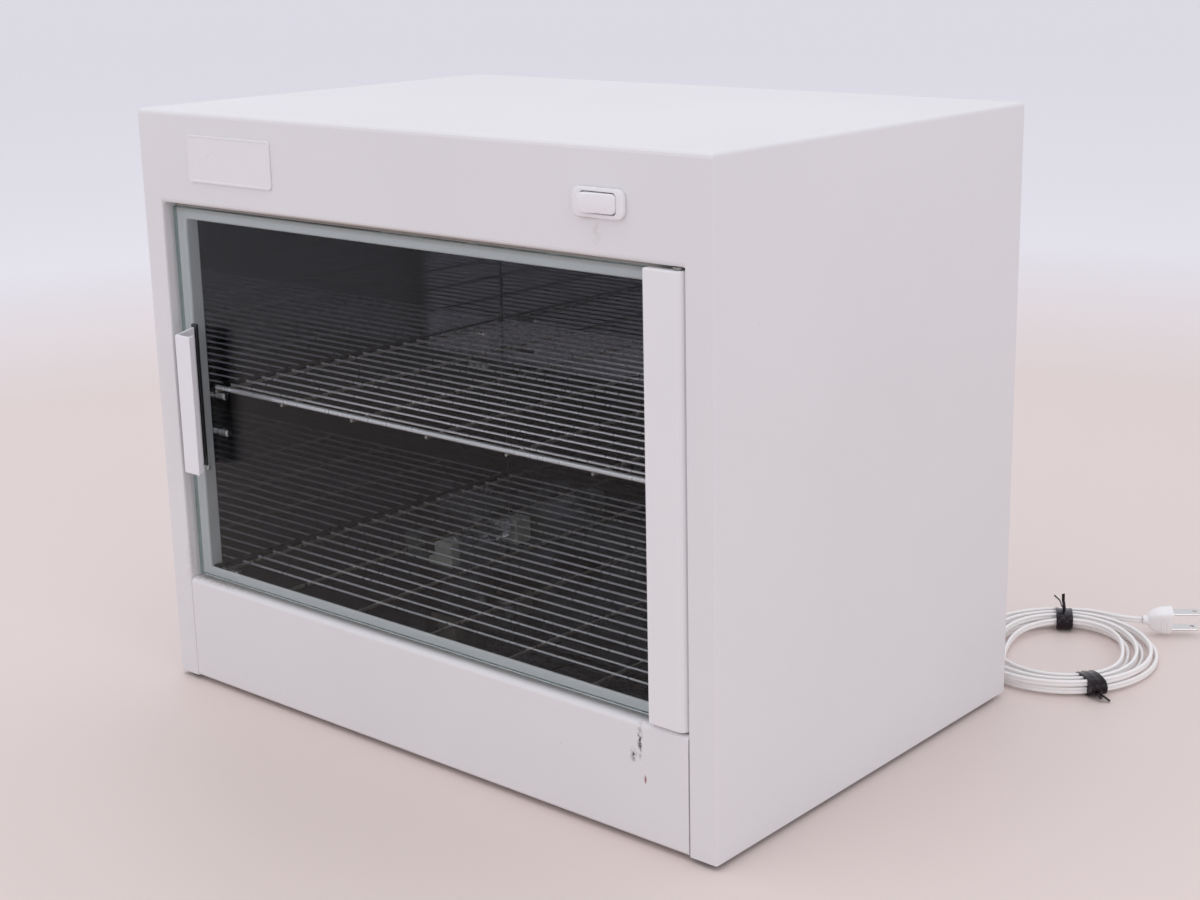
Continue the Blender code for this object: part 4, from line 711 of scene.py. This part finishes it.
def stack_rings(name, rings, sides):
    """A closed turned shape on the Z axis, drawn up ring by ring from (radius, height) places."""
    clear_selection()
    radius, height = rings[0]
    bpy.ops.mesh.primitive_circle_add(vertices=sides, radius=radius, location=(0, 0, height))
    piece = bpy.context.object
    piece.name = name
    bpy.ops.object.transform_apply(location=True, rotation=True, scale=True)
    bpy.ops.object.mode_set(mode="EDIT")
    bpy.ops.mesh.select_all(action="SELECT")
    for following, level in rings[1:]:
        bpy.ops.mesh.extrude_region_move(TRANSFORM_OT_translate={"value": (0, 0, level - height)})
        wider = following / radius
        bpy.ops.transform.resize(value=(wider, wider, 1), center_override=(0, 0, level))
        radius, height = following, level
    bpy.ops.mesh.edge_face_add()
    bpy.ops.mesh.select_all(action="DESELECT")
    bpy.ops.mesh.select_mode(type="VERT")
    bpy.ops.mesh.select_non_manifold()
    bpy.ops.mesh.edge_face_add()
    bpy.ops.mesh.select_all(action="SELECT")
    bpy.ops.mesh.normals_make_consistent(inside=False)
    bpy.ops.object.mode_set(mode="OBJECT")
    return piece


def pick(piece, kind, chosen):
    """In edit mode, select the faces or edges that pass the test on their middle and direction."""
    bpy.ops.mesh.select_mode(type=kind)
    bpy.ops.mesh.select_all(action="DESELECT")
    bm = bmesh.from_edit_mesh(piece.data)
    for item in (bm.faces if kind == "FACE" else bm.edges):
        if kind == "FACE":
            middle, direction = item.calc_center_median(), item.normal
        else:
            ends = [vert.co for vert in item.verts]
            middle, direction = (ends[0] + ends[1]) / 2, (ends[1] - ends[0]).normalized()
        item.select_set(bool(chosen(middle, direction)))
    bmesh.update_edit_mesh(piece.data)


def editing(piece):
    """Go into edit mode on one piece alone."""
    clear_selection()
    piece.select_set(True)
    bpy.context.view_layer.objects.active = piece
    bpy.ops.object.mode_set(mode="EDIT")


def round_edges(piece, chosen, width, steps):
    """Round the edges of the piece that pass the test."""
    editing(piece)
    pick(piece, "EDGE", chosen)
    bpy.ops.mesh.bevel(offset=width, segments=steps, affect="EDGES")
    bpy.ops.object.mode_set(mode="OBJECT")


def move_piece(piece, matrix):
    """Place a piece and write its place into its mesh."""
    clear_selection()
    piece.select_set(True)
    bpy.context.view_layer.objects.active = piece
    piece.matrix_world = matrix @ piece.matrix_world
    bpy.ops.object.transform_apply(location=True, rotation=True, scale=True)


def copy_piece(piece, matrix):
    """A copy with a mesh of its own, set down in its place."""
    twin = piece.copy()
    twin.data = piece.data.copy()
    bpy.context.scene.collection.objects.link(twin)
    move_piece(twin, matrix)
    return twin


def merge_pieces(pieces, name):
    """Join pieces into the first one and name it."""
    clear_selection()
    for piece in pieces:
        piece.select_set(True)
    bpy.context.view_layer.objects.active = pieces[0]
    bpy.ops.object.join()
    pieces[0].name = name
    return pieces[0]


def take_away(piece, cutter):
    """Cut one shape out of another."""
    clear_selection()
    piece.select_set(True)
    bpy.context.view_layer.objects.active = piece
    cut = piece.modifiers.new("cut", "BOOLEAN")
    cut.object = cutter
    cut.solver = "EXACT"
    bpy.ops.object.modifier_apply(modifier=cut.name)
    bpy.data.objects.remove(cutter)


def complete(piece, finish, body, replaced=(), angle=35):
    """Shade, colour and attach a finished piece."""
    clear_selection()
    piece.select_set(True)
    bpy.context.view_layer.objects.active = piece
    bpy.ops.object.shade_smooth_by_angle(angle=math.radians(angle))
    piece.data.materials.clear()
    piece.data.materials.append(FINISHES[finish])
    if replaced:
        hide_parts(*replaced)
    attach(piece, body)
    return piece


def shift(x, y, z):
    return Matrix.Translation((x, y, z))


def quarter(axis, turns=1):
    return Matrix.Rotation(math.pi / 2 * turns, 4, axis)


# Wire shelves

def round_wire(name, radius, low, high, sides=10):
    """A wire along Z with eased ends."""
    ease = radius * 0.45
    return stack_rings(name, [(radius - ease, low), (radius, low + ease), (radius, high - ease),
                              (radius - ease, high)], sides)


def build_shelf(name, height, node, body, front_rod):
    """Thin wires across seven rods, each crossing drawn together by a small weld."""
    rows = [FRONT + WIRE_FIRST + row * WIRE_PITCH for row in range(WIRE_COUNT)]
    rods = [(row - ROD_COUNT // 2) * ROD_PITCH for row in range(ROD_COUNT)]
    rod_height = height - ROD_DROP
    wire = round_wire("wire", WIRE_RADIUS, -WIRE_HALF, WIRE_HALF)
    rod = round_wire("rod", ROD_RADIUS, FRONT + (0.0195 if front_rod else 0.0160), rows[-1])
    parts = [copy_piece(wire, shift(0, y, height) @ quarter("Y")) for y in rows]
    parts += [copy_piece(rod, shift(x, 0, rod_height) @ quarter("X", -1)) for x in rods]
    if front_rod:
        thick = round_wire("front_rod", FRONT_ROD_RADIUS, -WIRE_HALF, WIRE_HALF, 12)
        move_piece(thick, shift(0, FRONT + FRONT_ROD_AWAY, height + FRONT_ROD_RISE) @ quarter("Y"))
        parts.append(thick)
    clear_selection()
    bpy.ops.mesh.primitive_ico_sphere_add(subdivisions=1, radius=1, scale=WELD_HALF)
    weld = bpy.context.object
    bpy.ops.object.transform_apply(location=True, rotation=True, scale=True)
    for x in rods:
        for y in rows:
            parts.append(copy_piece(weld, shift(x, y, height - WELD_DROP)))
    for spare in (wire, rod, weld):
        bpy.data.objects.remove(spare)
    shelf = merge_pieces(parts, name)
    finish = "wire_upper" if front_rod else "wire_lower"
    return complete(shelf, finish, body, [node])


# Switch and plate on the fascia

def along(axis):
    """A test for edges that run along an axis."""
    return lambda middle, direction: abs(direction[axis]) > 0.99


def build_plate():
    """Bare plate with rounded corners, its face set back a hair inside a narrow border."""
    plate = start_box("bare_plate", (PLATE_LOW.x, FRONT - PLATE_DEPTH, PLATE_LOW.z),
                      (PLATE_HIGH.x, FRONT - 0.0001, PLATE_HIGH.z))
    round_edges(plate, along(1), 0.0025, 6)
    editing(plate)
    pick(plate, "FACE", lambda middle, direction: direction.y < -0.9)
    bpy.ops.mesh.inset(thickness=0.0003, depth=0.0)
    bpy.ops.transform.translate(value=(0, -0.00015, 0))
    bpy.ops.mesh.inset(thickness=0.0009, depth=0.0)
    bpy.ops.mesh.inset(thickness=0.0003, depth=0.0)
    bpy.ops.transform.translate(value=(0, 0.00025, 0))
    bpy.ops.object.mode_set(mode="OBJECT")
    return complete(plate, "fascia_plate", "cabinet", ["fascia_plate"], 20)


def build_switch_frame():
    """White surround with a pocket for the rocker."""
    middle = SWITCH_MIDDLE
    half_width, half_height = SURROUND_HALF
    surround = start_box("switch_surround",
                         (middle.x - half_width, FRONT - SURROUND_DEPTH, middle.z - half_height),
                         (middle.x + half_width, FRONT - 0.0002, middle.z + half_height))
    round_edges(surround, along(1), 0.0046, 7)
    editing(surround)
    pick(surround, "FACE", lambda place, direction: direction.y < -0.9)
    bpy.ops.mesh.inset(thickness=0.0006, depth=0.0)
    bpy.ops.transform.translate(value=(0, -0.0003, 0))
    bpy.ops.mesh.inset(thickness=0.0011, depth=0.0)
    bpy.ops.transform.resize(value=(POCKET_SHARE, 1, 1), center_override=middle)
    bpy.ops.mesh.inset(thickness=0.0003, depth=0.0)
    bpy.ops.transform.translate(value=(0, 0.0003, 0))
    bpy.ops.mesh.extrude_region_move(TRANSFORM_OT_translate={"value": (0, 0.009, 0)})
    pick(surround, "FACE",
         lambda place, direction: direction.y > 0.9 and FRONT - 0.001 < place.y < FRONT)
    bpy.ops.mesh.inset(thickness=0.0010, depth=0.0)
    bpy.ops.mesh.extrude_region_move(TRANSFORM_OT_translate={"value": (0, 0.018, 0)})
    bpy.ops.mesh.select_all(action="SELECT")
    bpy.ops.mesh.normals_make_consistent(inside=False)
    bpy.ops.object.mode_set(mode="OBJECT")
    return complete(surround, "switch", "cabinet", ["switch_body"], 30)


def build_rocker():
    """Rocker with rounded ends and a shallow dip across its middle, pressed in at the right."""
    pivot = SWITCH_MIDDLE + Vector((0, FRONT + ROCKER_PIVOT_BACK, 0))
    face = FRONT - ROCKER_DEPTH
    half_width, half_height = ROCKER_HALF
    rocker = start_box("rocker_key", (pivot.x - half_width, face, pivot.z - half_height),
                       (pivot.x + half_width, FRONT + 0.0035, pivot.z + half_height))
    editing(rocker)
    for offset in (-0.004, 0.0, 0.004):
        bpy.ops.mesh.select_all(action="SELECT")
        bpy.ops.mesh.bisect(plane_co=(pivot.x + offset, 0, 0), plane_no=(1, 0, 0))
    pick(rocker, "EDGE", lambda place, direction: abs(direction.z) > 0.9 and place.y < face + 0.001
         and abs(place.x - pivot.x) < 0.001)
    bpy.ops.transform.translate(value=(0, 0.0010, 0))
    pick(rocker, "EDGE", lambda place, direction: abs(direction.z) > 0.9 and place.y < face + 0.001
         and 0.003 < abs(place.x - pivot.x) < 0.005)
    bpy.ops.transform.translate(value=(0, 0.0004, 0))
    bpy.ops.object.mode_set(mode="OBJECT")

    def upright_corners(place, direction):
        return abs(direction.y) > 0.9 and abs(place.x - pivot.x) > 0.011

    def rim(place, direction):
        outer = abs(place.z - pivot.z) > 0.0047 or abs(place.x - pivot.x) > 0.0088
        return place.y < face + 0.0012 and outer and abs(direction.y) < 0.5

    round_edges(rocker, upright_corners, 0.0026, 6)
    round_edges(rocker, rim, 0.0007, 3)
    move_piece(rocker, shift(*pivot) @ Matrix.Rotation(ROCKER_TILT, 4, "Z") @ shift(*-pivot))
    return complete(rocker, "switch", "rocker", ["switch_rocker"], 40)


# Screws

def build_screw(name, head):
    """Pan-head screw seen from outside, its cross recess sunk in the crown, head along +Z."""
    rings = [(head * 0.6, -0.0006), (head, 0.0), (head, head * 0.18), (head * 0.9, head * 0.38),
             (head * 0.66, head * 0.53), (head * 0.34, head * 0.60)]
    screw = stack_rings(name, rings, 24)
    arm = head * 0.55
    slot = head * 0.11
    bar = start_box("bar", (-arm, -slot, head * 0.25), (arm, slot, head))
    cross = copy_piece(bar, quarter("Z"))
    take_away(screw, bar)
    take_away(screw, cross)
    return screw


def set_screws():
    """Screws of the back cover, and the small one in the left jamb."""
    screw = build_screw("screw", SCREW_HEAD)
    rear = [copy_piece(screw, shift(x, COVER_OUTSIDE, z) @ quarter("X", -1)) for x, z in COVER_SCREWS]
    complete(merge_pieces(rear, "cover_screws"), "plated", "cabinet")
    small = build_screw("small_screw", JAMB_SCREW_HEAD)
    jamb = copy_piece(small, shift(*JAMB_SCREW) @ quarter("Y"))
    complete(merge_pieces([jamb], "catch_screw"), "plated", "cabinet")
    for spare in (screw, small):
        bpy.data.objects.remove(spare)


# Gland, plug and ties of the cord

def build_gland():
    """Strain relief: a chamfered flange and a tapered, ribbed snout."""
    left = coil_route()[0].x
    rings = [(0.0068, -0.0050), (0.0068, -0.0012), (0.0052, -0.0012), (0.0052, 0.0), (0.0080, 0.0),
             (0.0085, 0.0005), (0.0085, 0.0016), (0.0079, 0.0022), (0.0056, 0.0024)]
    for rib in range(6):
        base = 0.0030 + rib * 0.0028
        radius = 0.0052 - rib * 0.00034
        rings += [(radius, base), (radius - 0.0001, base + 0.0016), (radius - 0.0011, base + 0.0018),
                  (radius - 0.0011, base + 0.0026)]
    rings += [(0.0031, 0.0218), (0.0029, 0.0222)]
    gland = stack_rings("ribbed_gland", rings, 28)
    move_piece(gland, shift(left, GLAND_START, GLAND_HEIGHT) @ quarter("X", -1))
    return complete(gland, "plug", "cabinet", ["cord_gland"], 30)


def plug_place():
    """Where the plug lies, its axis along X before it is set down."""
    return shift(*PLUG_REAR) @ Matrix.Rotation(PLUG_TURN, 4, "Z") @ Matrix.Rotation(PLUG_ROLL, 4, "X")


def build_plug():
    """Moulded plug body with grip ridges, drawn down to a short ribbed neck on the cord."""
    body = start_box("plug_moulding", (0.0040, -0.0055, -0.0088), (0.0194, 0.0055, 0.0088))
    editing(body)
    for cut in (0.0062, 0.0105, 0.0160):
        bpy.ops.mesh.select_all(action="SELECT")
        bpy.ops.mesh.bisect(plane_co=(cut, 0, 0), plane_no=(1, 0, 0))
    for middle, across, tall in ((0.0040, 0.62, 0.50), (0.0062, 0.82, 0.74), (0.0105, 0.94, 0.94)):
        pick(body, "EDGE", lambda place, direction: abs(place.x - middle) < 0.0004 and abs(direction.x) < 0.1)
        bpy.ops.transform.resize(value=(1, across, tall), center_override=(middle, 0, 0))
    bpy.ops.object.mode_set(mode="OBJECT")
    round_edges(body, lambda place, direction: abs(direction.x) > 0.5, 0.0024, 4)
    round_edges(body, lambda place, direction: place.x > 0.0192, 0.0008, 3)
    parts = [body]
    for side in (-1, 1):
        for step in range(3):
            x = 0.0115 + step * 0.0020
            y = side * 0.0052
            ridge = start_box("ridge", (x, y - 0.0006, -0.0050), (x + 0.0009, y + 0.0006, 0.0050))
            round_edges(ridge, along(2), 0.0003, 2)
            parts.append(ridge)
    rings = [(0.0026, 0.0), (0.0032, 0.0005), (0.0033, 0.0017), (0.0028, 0.0019), (0.0028, 0.0026),
             (0.0034, 0.0032), (0.0036, 0.0060)]
    neck = stack_rings("neck", rings, 20)
    move_piece(neck, quarter("Y"))
    parts.append(neck)
    plug = merge_pieces(parts, "plug_moulding")
    move_piece(plug, plug_place())
    return complete(plug, "plug", "cabinet", ["plug_body"], 30)


def strip_end(start, heading, length, fold):
    """Flat end of a tie, standing off from its knot and folded once."""
    strip = start_box("strip", (0, -0.0011, -0.00022), (length, 0.0011, 0.00022))
    editing(strip)
    for share in (0.3, 0.55):
        bpy.ops.mesh.select_all(action="SELECT")
        bpy.ops.mesh.bisect(plane_co=(length * share, 0, 0), plane_no=(1, 0, 0))
    for share, turn in ((0.3, fold), (0.55, -1.6 * fold)):
        pick(strip, "EDGE", lambda place, direction: place.x > length * share + 0.0001)
        bpy.ops.transform.rotate(value=turn, orient_axis="Y", center_override=(length * share, 0, 0))
    bpy.ops.object.mode_set(mode="OBJECT")
    round_edges(strip, lambda place, direction: True, 0.0001, 1)
    aim = Vector(heading).normalized().to_track_quat("X", "Z").to_matrix().to_4x4()
    move_piece(strip, shift(*start) @ aim)
    return strip


def build_tie(name, node, angle, out, lift, ends):
    """Shiny black band drawn tight round the strands, creased across, with flat ends from its knot.

    The knot lies a share of the bundle's half width outwards and lifted off the floor; each end
    has a heading, a length and a fold.
    """
    half = COIL_BUNCH / 2 + CORD_WIDTH / 2 + 0.0012
    top = COIL_FLOOR + TIE_LIFT + COIL_LAYER + CORD_WIDTH / 2 + 0.0009
    creases = [(1.0, -0.0054), (1.0, -0.0036), (0.955, -0.0024), (1.0, -0.0008), (1.02, 0.0010),
               (0.96, 0.0026), (1.0, 0.0038), (0.985, 0.0054)]
    band = stack_rings("band", creases, 32)
    for vert in band.data.vertices:
        squared = max(abs(vert.co.x), abs(vert.co.y)) or 1
        reach = math.hypot(vert.co.x, vert.co.y)
        ease = 0.72 + 0.28 * squared / reach if reach > 1e-6 else 1
        vert.co.x *= half / ease
        vert.co.y *= (top - 0.0003) / 2 / ease
    move_piece(band, shift(0, 0, (top + 0.0003) / 2) @ quarter("X"))
    outward = Vector((math.cos(angle), math.sin(angle), 0))
    middle = COIL_MIDDLE + outward * coil_mean(angle)
    move_piece(band, shift(*middle) @ Matrix.Rotation(angle - coil_slant(angle), 4, "Z"))
    knot = middle + outward * half * out + Vector((0, 0, lift))
    strips = [strip_end(knot, *end) for end in ends]
    tie = merge_pieces([band, *strips], name)
    return complete(tie, "tie", "cabinet", [node], 40)


# The cabinet, put together

place_camera()
light_studio()
lay_floor()
finish_solids()
build_plate()
build_switch_frame()
build_rocker()
build_shelf("wire_shelf_upper", SHELF_UPPER, "upper_shelf", "upper_shelf_body", True)
build_shelf("wire_shelf_lower", SHELF_LOWER, "lower_shelf", "lower_shelf_body", False)
set_screws()
build_gland()
plug = build_plug()
tie_far = build_tie("band_far", "tie_far", TIE_FAR, 0.3, 0.0112,
                    [((-0.55, -0.20, 0.80), 0.0115, 0.4), ((-0.17, 0.12, 0.95), 0.0105, -0.3)])
tie_near = build_tie("band_near", "tie_near", TIE_NEAR, 1.0, 0.0046,
                     [((0.80, 0.02, -0.33), 0.0095, 0.15), ((0.67, -0.48, -0.30), 0.0060, -0.1)])
lay_cord()
